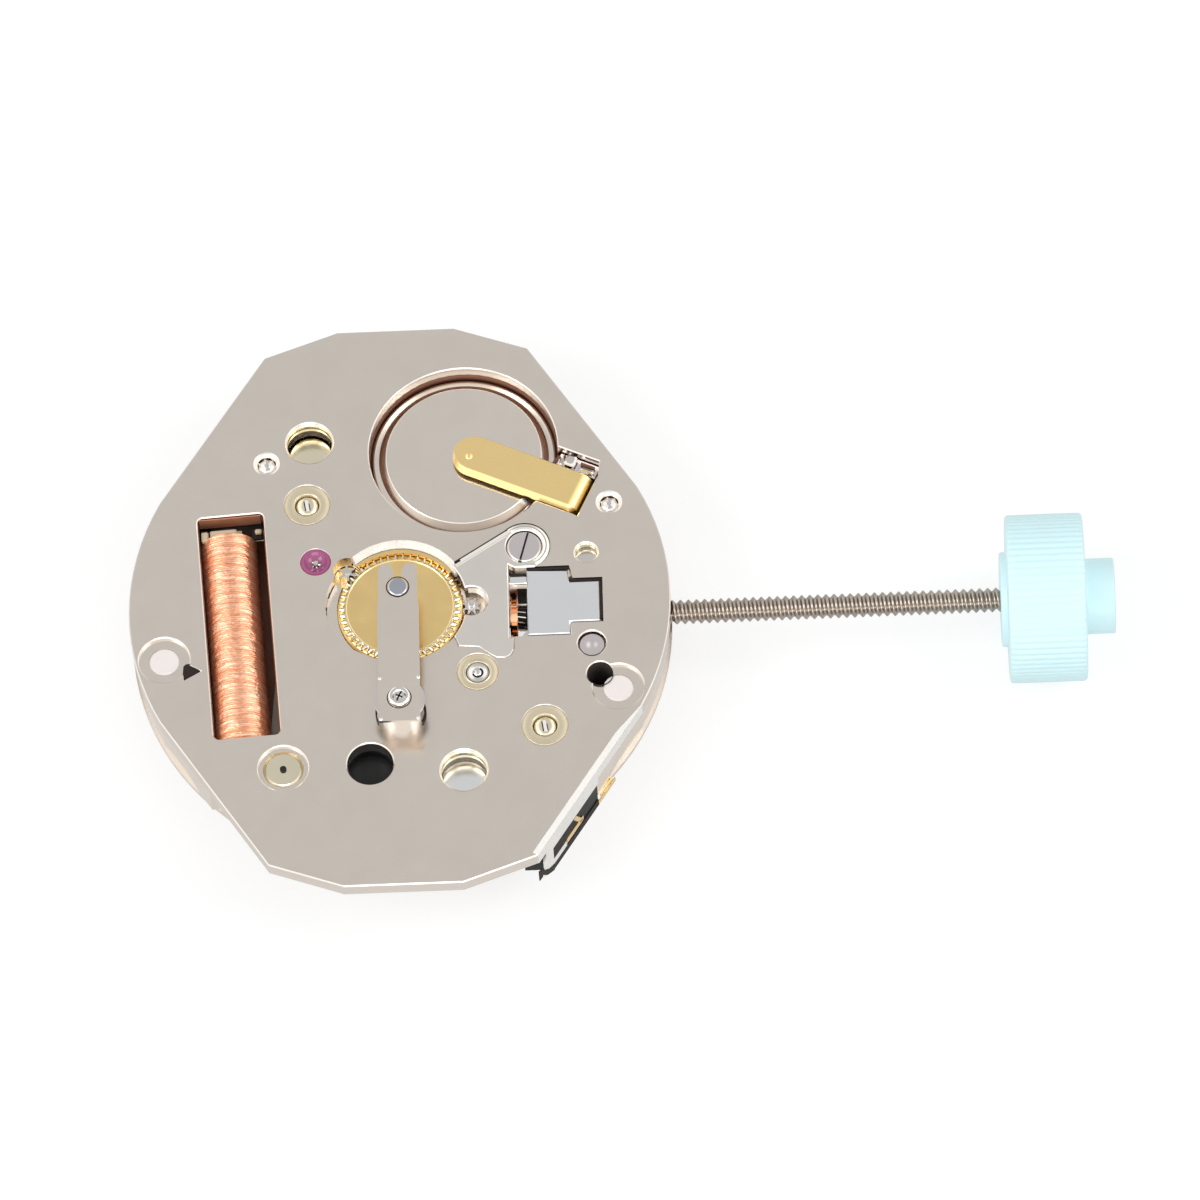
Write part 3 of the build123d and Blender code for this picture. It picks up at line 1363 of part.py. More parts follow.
rotor.part.label = "rotor"
export_step(rotor.part, "parts/rotor.step")

# Fifth wheel with the pinion that drives the seconds wheel
with BuildPart() as fifth_wheel:
    fifth_arbor_r = pilot_r / 2 - running_gap
    wheel_face = gear_face(
        third_level,
        fifth_axis,
        fifth_teeth,
        rotor_module,
        fifth_wheel_phase,
        fifth_arbor_r,
    )
    extrude(wheel_face, amount=wheel_t)

fifth_wheel.part.label = "fifth_wheel"
export_step(fifth_wheel.part, "parts/fifth_wheel.step")

# Fifth pinion: turned with its arbor, drives the seconds wheel
with BuildPart() as fifth_pinion:
    leaf_low = third_level + wheel_t
    leaf_top = seconds_level + seconds_wheel_t + end_gap
    leaf_face = gear_face(leaf_low, fifth_axis, fifth_leaves, seconds_module, fifth_phase, 0)
    extrude(leaf_face, amount=leaf_top - leaf_low)
    arbor_low = train_floor - dial_plate_t + end_gap
    arbor_face = disc_face(arbor_low, fifth_axis, fifth_arbor_r)
    extrude(arbor_face, amount=leaf_top + part_gap - arbor_low)

fifth_pinion.part.label = "fifth_pinion"
export_step(fifth_pinion.part, "parts/fifth_pinion.step")

# Seconds wheel: gold wheel under the strap, its arbor runs through the tubes
with BuildPart() as seconds_wheel:
    wheel_face = gear_face(seconds_level, seconds_axis, seconds_teeth, seconds_module, seconds_phase, 0)
    extrude(wheel_face, amount=seconds_wheel_t)
    leaf_low = third_level - end_gap
    leaf_face = gear_face(leaf_low, seconds_axis, seconds_leaves, third_module, seconds_leaf_phase, 0)
    extrude(leaf_face, amount=seconds_level - leaf_low)
    extrude(disc_face(leaf_low, seconds_axis, seconds_post_r), amount=bridge_t * 2, mode=Mode.SUBTRACT)

seconds_wheel.part.label = "seconds_wheel"
export_step(seconds_wheel.part, "parts/seconds_wheel.step")

# Seconds arbor: bright head in the strap's hole, hand's post at the other end
with BuildPart() as seconds_arbor:
    wheel_top = seconds_level + seconds_wheel_t
    extrude(disc_face(seconds_post_end, seconds_axis, seconds_post_r), amount=wheel_top - seconds_post_end)
    extrude(disc_face(wheel_top, seconds_axis, arbor_r), amount=arbor_top - wheel_top)
    head_low = strap_top - strap_t
    extrude(disc_face(head_low, seconds_axis, arbor_head_r), amount=arbor_top - head_low)
    fillet(seconds_arbor.edges().filter_by(GeomType.CIRCLE).sort_by(Axis.Z)[-1], bridge_edge * 2)

seconds_arbor.part.label = "seconds_arbor"
export_step(seconds_arbor.part, "parts/seconds_arbor.step")

# Train plate: holds the wheels under the seconds wheel
with BuildPart() as train_plate:
    extrude(opening_face(main_top, part_gap / 2), amount=train_plate_t)
    cut_low = -centre_hole_r * 2
    cut_face = box_face(main_top, train_plate_end_x, -cut_low, cut_low, -cut_low)
    extrude(cut_face, amount=train_plate_t, mode=Mode.SUBTRACT)
    for place in (seconds_axis, fifth_axis):
        extrude(disc_face(main_top, place, lobe_r), amount=train_plate_t, mode=Mode.SUBTRACT)

train_plate.part.label = "train_plate"
export_step(train_plate.part, "parts/train_plate.step")

# Third wheel, between the seconds pinion and the centre wheel
with BuildPart() as third_wheel:
    wheel_face = gear_face(third_level, third_axis, third_teeth, third_module, third_phase, 0)
    extrude(wheel_face, amount=wheel_t)
    leaf_low = centre_level - end_gap
    leaf_face = gear_face(leaf_low, third_axis, third_leaves, centre_module, third_leaf_phase, 0)
    extrude(leaf_face, amount=third_level - leaf_low)
    arbor_low = train_floor - dial_plate_t + end_gap
    arbor_high = main_top + bridge_t / 2 - end_gap
    extrude(disc_face(arbor_low, third_axis, pilot_r / 2 - running_gap), amount=arbor_high - arbor_low)

third_wheel.part.label = "third_wheel"
export_step(third_wheel.part, "parts/third_wheel.step")

# Centre wheel with its tube, and the cannon pinion pressed on it
with BuildPart() as centre_wheel:
    wheel_face = gear_face(
        centre_level,
        seconds_axis,
        centre_teeth,
        centre_module,
        centre_phase,
        centre_arbor_bore,
    )
    extrude(wheel_face, amount=wheel_t)
    tube_low = minute_post_end / 4
    tube_face = disc_face(tube_low, seconds_axis, centre_arbor_r, centre_arbor_bore)
    extrude(tube_face, amount=centre_level + wheel_t - tube_low)

centre_wheel.part.label = "centre_wheel"
export_step(centre_wheel.part, "parts/centre_wheel.step")

with BuildPart() as cannon_pinion:
    cannon_top = dial_pocket_top - wheel_pocket_gap
    tube_face = disc_face(minute_post_end, seconds_axis, minute_post_r, centre_arbor_r)
    extrude(tube_face, amount=cannon_top - minute_post_end)
    leaf_face = gear_face(
        cannon_leaf_level,
        seconds_axis,
        cannon_leaves,
        motion_module,
        cannon_phase,
        centre_arbor_r,
    )
    extrude(leaf_face, amount=cannon_top - cannon_leaf_level)

cannon_pinion.part.label = "cannon_pinion"
export_step(cannon_pinion.part, "parts/cannon_pinion.step")

# Minute wheel and hour wheel: three to one, then four to one
with BuildPart() as minute_wheel:
    post_bore_r = pin_r / 3 + running_gap
    wheel_face = gear_face(minute_level, minute_axis, minute_teeth, motion_module, minute_phase, post_bore_r)
    extrude(wheel_face, amount=wheel_t)
    leaf_face = gear_face(
        hour_level,
        minute_axis,
        minute_leaves,
        motion_module,
        minute_leaf_phase,
        post_bore_r,
    )
    extrude(leaf_face, amount=minute_level - hour_level)

minute_wheel.part.label = "minute_wheel"
export_step(minute_wheel.part, "parts/minute_wheel.step")

with BuildPart() as hour_wheel:
    wheel_face = gear_face(hour_level, seconds_axis, hour_teeth, motion_module, hour_phase, hour_bore)
    extrude(wheel_face, amount=wheel_t)
    tube_face = disc_face(hour_post_end, seconds_axis, hour_post_r, hour_bore)
    extrude(tube_face, amount=-hour_post_end)
    extrude(disc_face(0, seconds_axis, hour_hub_r, hour_bore), amount=hour_level + wheel_t)

hour_wheel.part.label = "hour_wheel"
export_step(hour_wheel.part, "parts/hour_wheel.step")

# Setting wheel: driven by the centre wheel, its disc lies at the clutch
with BuildPart() as setting_wheel:
    extrude(disc_face(setting_level, setting_axis, setting_r), amount=wheel_t)
    setting_arbor_r = pin_r / 2 - running_gap
    bore_face = disc_face(setting_level, setting_axis, setting_arbor_r)
    extrude(bore_face, amount=main_plate_t * 2, mode=Mode.SUBTRACT)

setting_wheel.part.label = "setting_wheel"
export_step(setting_wheel.part, "parts/setting_wheel.step")

# Pinion and arbor of the setting wheel, cut from one rod
with BuildPart() as setting_arbor:
    arbor_high = seconds_level + seconds_wheel_t
    extrude(disc_face(setting_level, setting_axis, setting_arbor_r), amount=arbor_high - setting_level)
    leaf_low = train_floor + end_gap
    leaf_face = gear_face(leaf_low, setting_axis, setting_leaves, centre_module, setting_phase, 0)
    extrude(leaf_face, amount=seconds_level - part_gap - leaf_low)
    collar_low = seconds_level - part_gap
    extrude(disc_face(collar_low, setting_axis, setting_arbor_r * 1.7), amount=part_gap)
    fillet(setting_arbor.edges().filter_by(GeomType.CIRCLE).sort_by(Axis.Z)[-1], bridge_edge)

setting_arbor.part.label = "setting_arbor"
export_step(setting_arbor.part, "parts/setting_arbor.step")

# Clutch wheel: slides on the stem's square, with face teeth and a groove
with BuildPart() as clutch_wheel:
    extrude(stem_face(clutch_start, clutch_r), amount=clutch_length)
    groove_face = stem_face(clutch_groove_start, clutch_r + overrun)
    groove_core = stem_face(clutch_groove_start, clutch_core_r)
    extrude(groove_face - groove_core, amount=clutch_groove_width, mode=Mode.SUBTRACT)
    with BuildSketch(Plane.YZ.offset(clutch_tooth_start)):
        with Locations((0, stem_z)):
            with PolarLocations(clutch_r, clutch_teeth):
                Rectangle(clutch_tooth_depth * 2, pi * clutch_r / clutch_teeth)
    extrude(amount=clutch_groove_start - clutch_tooth_start, mode=Mode.SUBTRACT)
    square = stem_square + fit_gap * 2
    extrude(stem_face(clutch_start, square, 4), amount=clutch_length, mode=Mode.SUBTRACT)

clutch_wheel.part.label = "clutch_wheel"
export_step(clutch_wheel.part, "parts/clutch_wheel.step")

# Stem: pilot, square, groove for the lever, body and thread
with BuildPart() as stem:
    square_start = clutch_start - part_gap
    body_start = lever_groove_start + lever_groove_width
    socket_end = crown_start - crown_hub_width + crown_socket_depth
    extrude(stem_face(pilot_start, pilot_r), amount=square_start - pilot_start)
    extrude(stem_face(square_start, stem_square, 4), amount=stem_collar_start - square_start)
    extrude(stem_face(stem_collar_start, stem_collar_r), amount=lever_groove_start - stem_collar_start)
    extrude(stem_face(lever_groove_start, stem_core_r), amount=lever_groove_width)
    extrude(stem_face(body_start, stem_collar_r), amount=thread_start - body_start)
    extrude(stem_face(thread_start, thread_r - thread_depth), amount=socket_end - thread_start)
    turns = int((thread_end - thread_start) / thread_pitch)
    with BuildSketch(Plane.XZ):
        with BuildLine():
            ridge = [(thread_start, stem_z)]
            for turn in range(turns):
                low = thread_start + turn * thread_pitch
                ridge.append((low, stem_z + thread_r - thread_depth))
                ridge.append((low + thread_pitch / 2, stem_z + thread_r))
            ridge.append((thread_start + turns * thread_pitch, stem_z + thread_r - thread_depth))
            ridge.append((thread_start + turns * thread_pitch, stem_z))
            Polyline(*ridge, close=True)
        make_face()
    revolve(axis=Axis((0, 0, stem_z), (1, 0, 0)))

stem.part.label = "stem"
export_step(stem.part, "parts/stem.step")

# Crown: hub, ribbed wheel and outer stub, with a socket for the stem
with BuildPart() as crown:
    hub_start = crown_start - crown_hub_width
    extrude(stem_face(hub_start, crown_hub_r), amount=crown_hub_width)
    rib_points = []
    for rib in range(crown_ribs):
        for share, radius in ((-0.25, crown_r), (0.25, crown_r), (0.5, crown_r - crown_rib_depth)):
            angle = 2 * pi * (rib + share) / crown_ribs
            rib_points.append((radius * cos(angle), stem_z + radius * sin(angle)))
    with BuildSketch(Plane.YZ.offset(crown_start)):
        with BuildLine():
            Polyline(*rib_points, close=True)
        make_face()
    extrude(amount=crown_width)
    crown_end = crown_start + crown_width
    extrude(stem_face(crown_end, crown_stub_r), amount=crown_stub_length)
    stub_rim = crown.edges().filter_by(GeomType.CIRCLE).sort_by(Axis.X)[-1]
    fillet(stub_rim, crown_edge)
    extrude(stem_face(hub_start, thread_r - thread_depth), amount=crown_socket_depth, mode=Mode.SUBTRACT)

crown.part.label = "crown"
export_step(crown.part, "parts/crown.step")

# Setting lever: slotted head on top, arm under the plate, pin in the groove
with BuildPart() as setting_lever:
    extrude(link_face(lever_level, lever_place, lever_pin_place, lever_arm_width), amount=lever_t)
    post_low = stem_z + end_gap
    head_top = bridge_top - part_gap / 2
    extrude(disc_face(post_low, lever_place, lever_post_r), amount=head_top - post_low)
    head_low = main_top + part_gap
    extrude(disc_face(head_low, lever_place, lever_head_r), amount=head_top - head_low)
    chamfer(setting_lever.edges().filter_by(GeomType.CIRCLE).sort_by(Axis.Z)[-1], bridge_edge)
    pin_low = stem_z + stem_core_r + end_gap
    extrude(disc_face(pin_low, lever_pin_place, lever_pin_r), amount=lever_level - pin_low)
    with BuildSketch(Plane.XY.offset(head_top - screw_slot_depth)):
        with Locations(Location(lever_place, lever_slot_angle)):
            Rectangle(lever_head_r * 2, screw_slot_width)
    extrude(amount=screw_slot_depth, mode=Mode.SUBTRACT)

setting_lever.part.label = "setting_lever"
export_step(setting_lever.part, "parts/setting_lever.step")

# Yoke: its finger reaches into the clutch wheel's groove
with BuildPart() as yoke:
    shoulder_share = 0.80
    shoulder = (
        yoke_x + (yoke_finger_x - yoke_x) * shoulder_share,
        yoke_y + (yoke_finger_y - yoke_y) * shoulder_share,
    )
    extrude(link_face(yoke_level, yoke_place, shoulder, yoke_width), amount=yoke_t)
    extrude(link_face(yoke_level, shoulder, yoke_finger_place, yoke_finger_width), amount=yoke_t)
    post_low = yoke_level - dial_plate_t + end_gap
    yoke_post_r = yoke_bush_bore_r - running_gap
    extrude(disc_face(post_low, yoke_place, yoke_post_r), amount=bridge_top - part_gap - post_low)

yoke.part.label = "yoke"
export_step(yoke.part, "parts/yoke.step")
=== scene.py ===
"""Looks for the quartz watch movement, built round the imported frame."""
import json
import math

import bpy
from mathutils import Matrix, Vector

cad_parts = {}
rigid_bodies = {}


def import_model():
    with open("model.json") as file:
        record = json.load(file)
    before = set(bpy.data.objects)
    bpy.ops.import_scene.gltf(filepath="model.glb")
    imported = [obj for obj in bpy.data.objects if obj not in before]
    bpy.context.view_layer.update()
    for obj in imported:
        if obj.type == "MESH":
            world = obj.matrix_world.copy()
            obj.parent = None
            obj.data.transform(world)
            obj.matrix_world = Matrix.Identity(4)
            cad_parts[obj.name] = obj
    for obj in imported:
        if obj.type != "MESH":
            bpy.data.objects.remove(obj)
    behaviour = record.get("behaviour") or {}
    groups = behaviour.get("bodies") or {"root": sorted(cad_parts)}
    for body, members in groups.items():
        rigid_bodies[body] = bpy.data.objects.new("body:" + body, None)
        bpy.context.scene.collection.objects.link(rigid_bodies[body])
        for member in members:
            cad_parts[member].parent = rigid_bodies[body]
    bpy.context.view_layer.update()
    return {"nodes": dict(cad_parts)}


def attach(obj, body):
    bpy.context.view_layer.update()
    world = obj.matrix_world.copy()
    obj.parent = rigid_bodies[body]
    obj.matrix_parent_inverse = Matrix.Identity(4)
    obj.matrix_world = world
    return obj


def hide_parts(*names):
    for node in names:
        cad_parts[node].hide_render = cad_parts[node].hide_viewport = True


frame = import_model()
MM = 0.001

# Places and angles that several pieces share, in millimetres and degrees
COIL_TILT = 3.6
COIL_PITCH = 0.09
THREAD_PITCH = 0.295
THREAD_START, THREAD_END = 9.6, 21.9
STEM_Z = 0.75
BATTERY_AT = (2.42, 6.38)
STRIP_START, STRIP_TURN = (2.83, 6.18), -25
STUDS_AT = ((-3.33, 4.28), (5.20, -5.30))
STUD_SLOT_TURN = 98.4
LEVER_AT = (4.58, 2.20)
YOKE_AT = (2.80, -2.98)
STRAP_SCREW_AT = (0, -4.60)
DOME_AT = (6.97, -1.97)

# Camera at the photograph's viewing angle
ELEVATION = math.radians(60.278)
AZIMUTH = math.radians(2.6325)
ROLL = math.radians(-4.4926)
TARGET = Vector((7.3028, -0.1909, 2.2)) * MM
DISTANCE = 387.3 * MM
FIELD = math.radians(6.4487)
SENSOR = 36

back = Vector((
    math.sin(AZIMUTH) * math.cos(ELEVATION),
    -math.cos(AZIMUTH) * math.cos(ELEVATION),
    math.sin(ELEVATION),
))
level_right = Vector((math.cos(AZIMUTH), math.sin(AZIMUTH), 0))
level_up = back.cross(level_right)
right = math.cos(ROLL) * level_right + math.sin(ROLL) * level_up
up = -math.sin(ROLL) * level_right + math.cos(ROLL) * level_up
camera_data = bpy.data.cameras.new("camera")
camera_data.sensor_width = SENSOR
camera_data.lens = SENSOR / 2 / math.tan(FIELD / 2)
camera_data.clip_start = 0.01
camera_data.clip_end = 10
camera = bpy.data.objects.new("camera", camera_data)
bpy.context.scene.collection.objects.link(camera)
place = TARGET + back * DISTANCE
camera.matrix_world = Matrix((
    (right.x, up.x, back.x, place.x),
    (right.y, up.y, back.y, place.y),
    (right.z, up.z, back.z, place.z),
    (0, 0, 0, 1),
))
bpy.context.scene.camera = camera
bpy.context.scene.view_settings.view_transform = "Standard"


# Materials
def linear(r, g, b):
    """Photo tone, 0 to 255, as a linear colour."""
    made = []
    for v in (r, g, b):
        v = v / 255
        made.append(v / 12.92 if v <= 0.04045 else ((v + 0.055) / 1.055) ** 2.4)
    return (*made, 1.0)


def shade(color, k):
    return (min(color[0] * k, 1), min(color[1] * k, 1), min(color[2] * k, 1), 1)


def feed(nt, socket, value):
    """Give a socket a number or another node's output."""
    if isinstance(value, (int, float)):
        socket.default_value = value
    else:
        nt.links.new(value, socket)


def calc(nt, operation, *values):
    node = nt.nodes.new("ShaderNodeMath")
    node.operation = operation
    for socket, value in zip(node.inputs, values):
        feed(nt, socket, value)
    return node.outputs[0]


def tree(name):
    mat = bpy.data.materials.new(name)
    mat.use_nodes = True
    nt = mat.node_tree
    nt.nodes.clear()
    out = nt.nodes.new("ShaderNodeOutputMaterial")
    bsdf = nt.nodes.new("ShaderNodeBsdfPrincipled")
    nt.links.new(bsdf.outputs[0], out.inputs[0])
    return mat, nt, bsdf


def noise(nt, coords, scale, detail, rough=0.55, stretch=None):
    node = nt.nodes.new("ShaderNodeTexNoise")
    node.inputs["Scale"].default_value = scale
    node.inputs["Detail"].default_value = detail
    node.inputs["Roughness"].default_value = rough
    source = coords
    if stretch:
        mapping = nt.nodes.new("ShaderNodeMapping")
        mapping.inputs["Scale"].default_value = stretch
        nt.links.new(coords, mapping.inputs[0])
        source = mapping.outputs[0]
    nt.links.new(source, node.inputs["Vector"])
    return node.outputs["Fac"]


def ramp(nt, fac, stops):
    node = nt.nodes.new("ShaderNodeValToRGB")
    els = node.color_ramp.elements
    els[0].position, els[0].color = stops[0]
    els[1].position, els[1].color = stops[-1]
    for pos, col in stops[1:-1]:
        el = els.new(pos)
        el.color = col
    nt.links.new(fac, node.inputs[0])
    return node.outputs[0]


def bump_from(nt, bsdf, height, strength, distance):
    node = nt.nodes.new("ShaderNodeBump")
    node.inputs["Strength"].default_value = strength
    node.inputs["Distance"].default_value = distance * MM
    nt.links.new(height, node.inputs["Height"])
    nt.links.new(node.outputs[0], bsdf.inputs["Normal"])


def finish_of(name, color, metallic, rough, spread, grain, bump, rough_spread=0.06, **fixed):
    """Surface with a blotchy tone, a fine grain and uneven gloss."""
    mat, nt, bsdf = tree(name)
    coords = nt.nodes.new("ShaderNodeTexCoord").outputs["Object"]
    broad = noise(nt, coords, 420, 4.0)
    fine = noise(nt, coords, grain, 3.0, 0.6)
    tone = ramp(nt, broad, [(0.3, shade(color, 1 - spread)), (0.7, shade(color, 1 + spread))])
    nt.links.new(tone, bsdf.inputs["Base Color"])
    spots = noise(nt, coords, 1500, 5.0)
    gloss = nt.nodes.new("ShaderNodeMapRange")
    gloss.inputs["From Min"].default_value = 0.3
    gloss.inputs["From Max"].default_value = 0.7
    gloss.inputs["To Min"].default_value = max(rough - rough_spread, 0.02)
    gloss.inputs["To Max"].default_value = min(rough + rough_spread, 1)
    nt.links.new(spots, gloss.inputs["Value"])
    nt.links.new(gloss.outputs[0], bsdf.inputs["Roughness"])
    bsdf.inputs["Metallic"].default_value = metallic
    for key, value in fixed.items():
        bsdf.inputs[key.replace("_", " ")].default_value = value
    bump_from(nt, bsdf, fine, bump, 0.01)
    return mat


nickel = finish_of("nickel", linear(230, 221, 211), 1.0, 0.22, 0.015, 14000, 0.03, 0.02)
well_nickel = finish_of("well_nickel", linear(236, 226, 214), 1.0, 0.16, 0.03, 12000, 0.08)
cool_nickel = finish_of("cool_nickel", linear(238, 233, 225), 1.0, 0.21, 0.01, 14000, 0.02, 0.02)
guide_nickel = finish_of("guide_nickel", linear(240, 241, 243), 1.0, 0.20, 0.01, 14000, 0.02, 0.02)
steel = finish_of("steel", linear(226, 222, 218), 1.0, 0.12, 0.04, 12000, 0.06)
# Stem steel darkened as painted shade, for the dark surroundings its thread flanks mirror
painted_shade_steel = finish_of("painted_shade_steel", linear(172, 162, 152), 1.0, 0.18, 0.06, 9000, 0.08)
dusk_steel = finish_of("dusk_steel", linear(186, 190, 200), 1.0, 0.16, 0.04, 12000, 0.06)
# dark serves only as painted shade: strips, rings, cups and sheets laid in slots, gaps, holes and
# pockets
dark = finish_of("dark", linear(34, 27, 23), 0.0, 0.60, 0.20, 6000, 0.10, Specular_IOR_Level=0.25)
winding_brown = finish_of("winding_brown", linear(206, 146, 116), 0.6, 0.40, 0.08, 6000, 0.10)
iron = finish_of("iron", linear(120, 112, 104), 1.0, 0.42, 0.08, 9000, 0.12)
gilt = finish_of("gilt", linear(247, 215, 150), 1.0, 0.22, 0.03, 14000, 0.08)
strip_gilt = finish_of("strip_gilt", linear(252, 222, 156), 1.0, 0.27, 0.01, 14000, 0.012, 0.01)
rose = finish_of("rose", linear(250, 196, 156), 1.0, 0.16, 0.04, 14000, 0.08)
brass = finish_of("brass", linear(232, 219, 182), 1.0, 0.14, 0.05, 12000, 0.08)
bush = finish_of("bush", linear(218, 205, 177), 0.5, 0.22, 0.02, 12000, 0.05, 0.03)
pale_brass = finish_of("pale_brass", linear(238, 229, 204), 1.0, 0.14, 0.04, 12000, 0.08)
can = finish_of("can", linear(232, 223, 213), 1.0, 0.22, 0.015, 14000, 0.03, 0.02)
resin = finish_of("resin", linear(22, 23, 25), 0.0, 0.48, 0.15, 6000, 0.15, Specular_IOR_Level=0.3)
beige = finish_of("beige", linear(204, 188, 160), 0.0, 0.50, 0.08, 6000, 0.15)
# painted_highlight_white: near-white, hardly metallic finish that paints highlights on nickel walls,
# bevels and side bands
painted_highlight_white = finish_of("painted_highlight_white", linear(252, 249, 243), 0.15, 0.30, 0.02, 6000, 0.06)
# painted_shade_brown: brown painted shade for the battery's gap, the coil's pocket and beside the
# contact strip
painted_shade_brown = finish_of("painted_shade_brown", linear(120, 78, 58), 0.3, 0.50, 0.10, 6000, 0.10)
mauve_steel = finish_of("mauve_steel", linear(222, 214, 214), 1.0, 0.20, 0.01, 14000, 0.02, 0.02)
white = finish_of("white", linear(242, 234, 230), 0.0, 0.35, 0.03, 6000, 0.10)
sheet = finish_of("sheet", linear(188, 186, 176), 0.0, 0.45, 0.06, 6000, 0.10)
board = finish_of("board", linear(58, 92, 70), 0.0, 0.35, 0.10, 6000, 0.10)
jewel = finish_of("jewel", linear(170, 88, 132), 0.0, 0.05, 0.16, 9000, 0.02)


def copper_finish():
    """Varnished wire: each turn mirrors along the coil, so bright bands run down it."""
    mat, nt, bsdf = tree("copper")
    coords = nt.nodes.new("ShaderNodeTexCoord").outputs["Object"]
    turns = noise(nt, coords, 1000, 4.0, 0.7, (0.5, 7.0, 0.5))
    lumps = noise(nt, coords, 1000, 3.0, 0.6, (1.6, 4.5, 1.6))
    tone = ramp(nt, turns, [
        (0.30, linear(236, 140, 96)),
        (0.50, linear(250, 182, 144)),
        (0.72, linear(254, 214, 186)),
    ])
    nt.links.new(tone, bsdf.inputs["Base Color"])
    bsdf.inputs["Metallic"].default_value = 0.72
    bsdf.inputs["Roughness"].default_value = 0.28
    bsdf.inputs["Anisotropic"].default_value = 0.92
    bsdf.inputs["Anisotropic Rotation"].default_value = 0.25
    around = nt.nodes.new("ShaderNodeTangent")
    around.direction_type = "RADIAL"
    around.axis = "Y"
    nt.links.new(around.outputs[0], bsdf.inputs["Tangent"])
    bump_from(nt, bsdf, calc(nt, "MULTIPLY_ADD", turns, 0.10, lumps), 1.0, 0.10)
    return mat


def crown_finish():
    """Pale blue moulded plastic. Its weak emission is a painted glow, standing for light passing
    through it and lifting its shaded edges.
    """
    mat = finish_of("crown_plastic", linear(206, 237, 242), 0.0, 0.34, 0.01, 3000, 0.06)
    bsdf = mat.node_tree.nodes["Principled BSDF"]
    bsdf.inputs["Subsurface Weight"].default_value = 0.3
    bsdf.inputs["Subsurface Radius"].default_value = (0.6 * MM, 0.9 * MM, 1.0 * MM)
    bsdf.inputs["Subsurface Scale"].default_value = 1.0
    bsdf.inputs["Emission Color"].default_value = (0.80, 1.0, 1.0, 1)
    bsdf.inputs["Emission Strength"].default_value = 0.15
    return mat


copper = copper_finish()
crown_plastic = crown_finish()

FINISHES = {
    "bridge_plate": nickel, "main_plate": well_nickel, "dial_side_plate": nickel,
    "train_plate": well_nickel, "setting_arbor": steel, "seconds_arbor": dusk_steel,
    "fifth_pinion": steel, "circuit_frame": resin, "contact_block": resin, "ic_chip": resin,
    "battery": can, "battery_insulator": sheet, "battery_contact": strip_gilt,
    "case_contact": pale_brass, "circuit_board": board, "quartz_crystal": steel,
    "coil_core": iron, "coil_bobbin": beige, "stator": iron, "keyless_cover": cool_nickel,
    "stem_guide_plate": guide_nickel, "strap_pillar": steel, "seconds_strap": nickel,
    "strap_screw": steel, "bridge_bushes": brass, "bridge_studs": pale_brass,
    "yoke_bush": brass, "rotor_jewel": jewel, "coil_pillar": pale_brass,
    "circuit_pillar": guide_nickel, "frame_pillar": pale_brass, "ground_pin": steel,
    "dome_pin": steel, "locating_pins": steel, "dial_foot_plugs": white, "side_tab": steel,
    "side_trace": gilt, "rim_contact": gilt, "rotor": steel, "fifth_wheel": gilt,
    "seconds_wheel": gilt, "third_wheel": gilt, "centre_wheel": rose, "cannon_pinion": steel,
    "minute_wheel": gilt, "hour_wheel": gilt, "setting_wheel": rose, "clutch_wheel": rose,
    "setting_lever": cool_nickel, "yoke": steel, "stem": painted_shade_steel,
    "coil_winding": copper, "crown": crown_plastic,
}
for name, mat in FINISHES.items():
    node = frame["nodes"][name]
    for obj in [node, *node.children_recursive]:
        if obj.type == "MESH":
            obj.data.materials.clear()
            obj.data.materials.append(mat)


# Helpers: a mesh is (verts, faces) in millimetres
def detail(name, mesh, mat, slot, body="movement", node=None, smooth=False):
    """Piece that rides a body and, if a node is named, stands for that CAD node."""
    data = bpy.data.meshes.new(name)
    data.from_pydata([tuple(c * MM for c in v) for v in mesh[0]], [], mesh[1])
    data.materials.append(mat)
    for poly in data.polygons:
        poly.use_smooth = smooth
    data.update()
    obj = bpy.data.objects.new(name, data)
    bpy.context.scene.collection.objects.link(obj)
    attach(obj, body)
    if node:
        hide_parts(node)
    return obj


def merged(parts):
    verts, faces = [], []
    for more_verts, more_faces in parts:
        base = len(verts)
        verts.extend(more_verts)
        faces.extend(tuple(base + i for i in f) for f in more_faces)
    return verts, faces


def moved(mesh, dx, dy):
    return [(x + dx, y + dy, z) for x, y, z in mesh[0]], mesh[1]


def prism_faces(n):
    """Faces of a prism whose n corners of one end come before those of the other."""
    ends = [tuple(range(n))[::-1], tuple(range(n, 2 * n))]
    return ends + [(k, (k + 1) % n, n + (k + 1) % n, n + k) for k in range(n)]


def plain(s, r, a):
    return r


def lathe(rings, seg, to_world, radius_of=plain):
    """Closed skin through rings (distance, radius), with flat ends."""
    verts, faces = [], []
    for s, r in rings:
        for k in range(seg):
            a = 2 * math.pi * k / seg
            rr = radius_of(s, r, a)
            verts.append(to_world(s, rr * math.cos(a), rr * math.sin(a)))
    for j in range(len(rings) - 1):
        for k in range(seg):
            n = (k + 1) % seg
            faces.append((j * seg + k, j * seg + n, (j + 1) * seg + n, (j + 1) * seg + k))
    faces.append(tuple(range(seg))[::-1])
    last = (len(rings) - 1) * seg
    faces.append(tuple(last + k for k in range(seg)))
    return verts, faces


def turned(profile, centre, seg=64):
    """Solid turned piece: (height, radius) from the bottom up."""
    profile = profile + [(profile[-1][0], profile[-1][1] * 0.93)]
    return lathe(profile, seg, lambda s, u, v: (centre[0] + u, centre[1] + v, s))


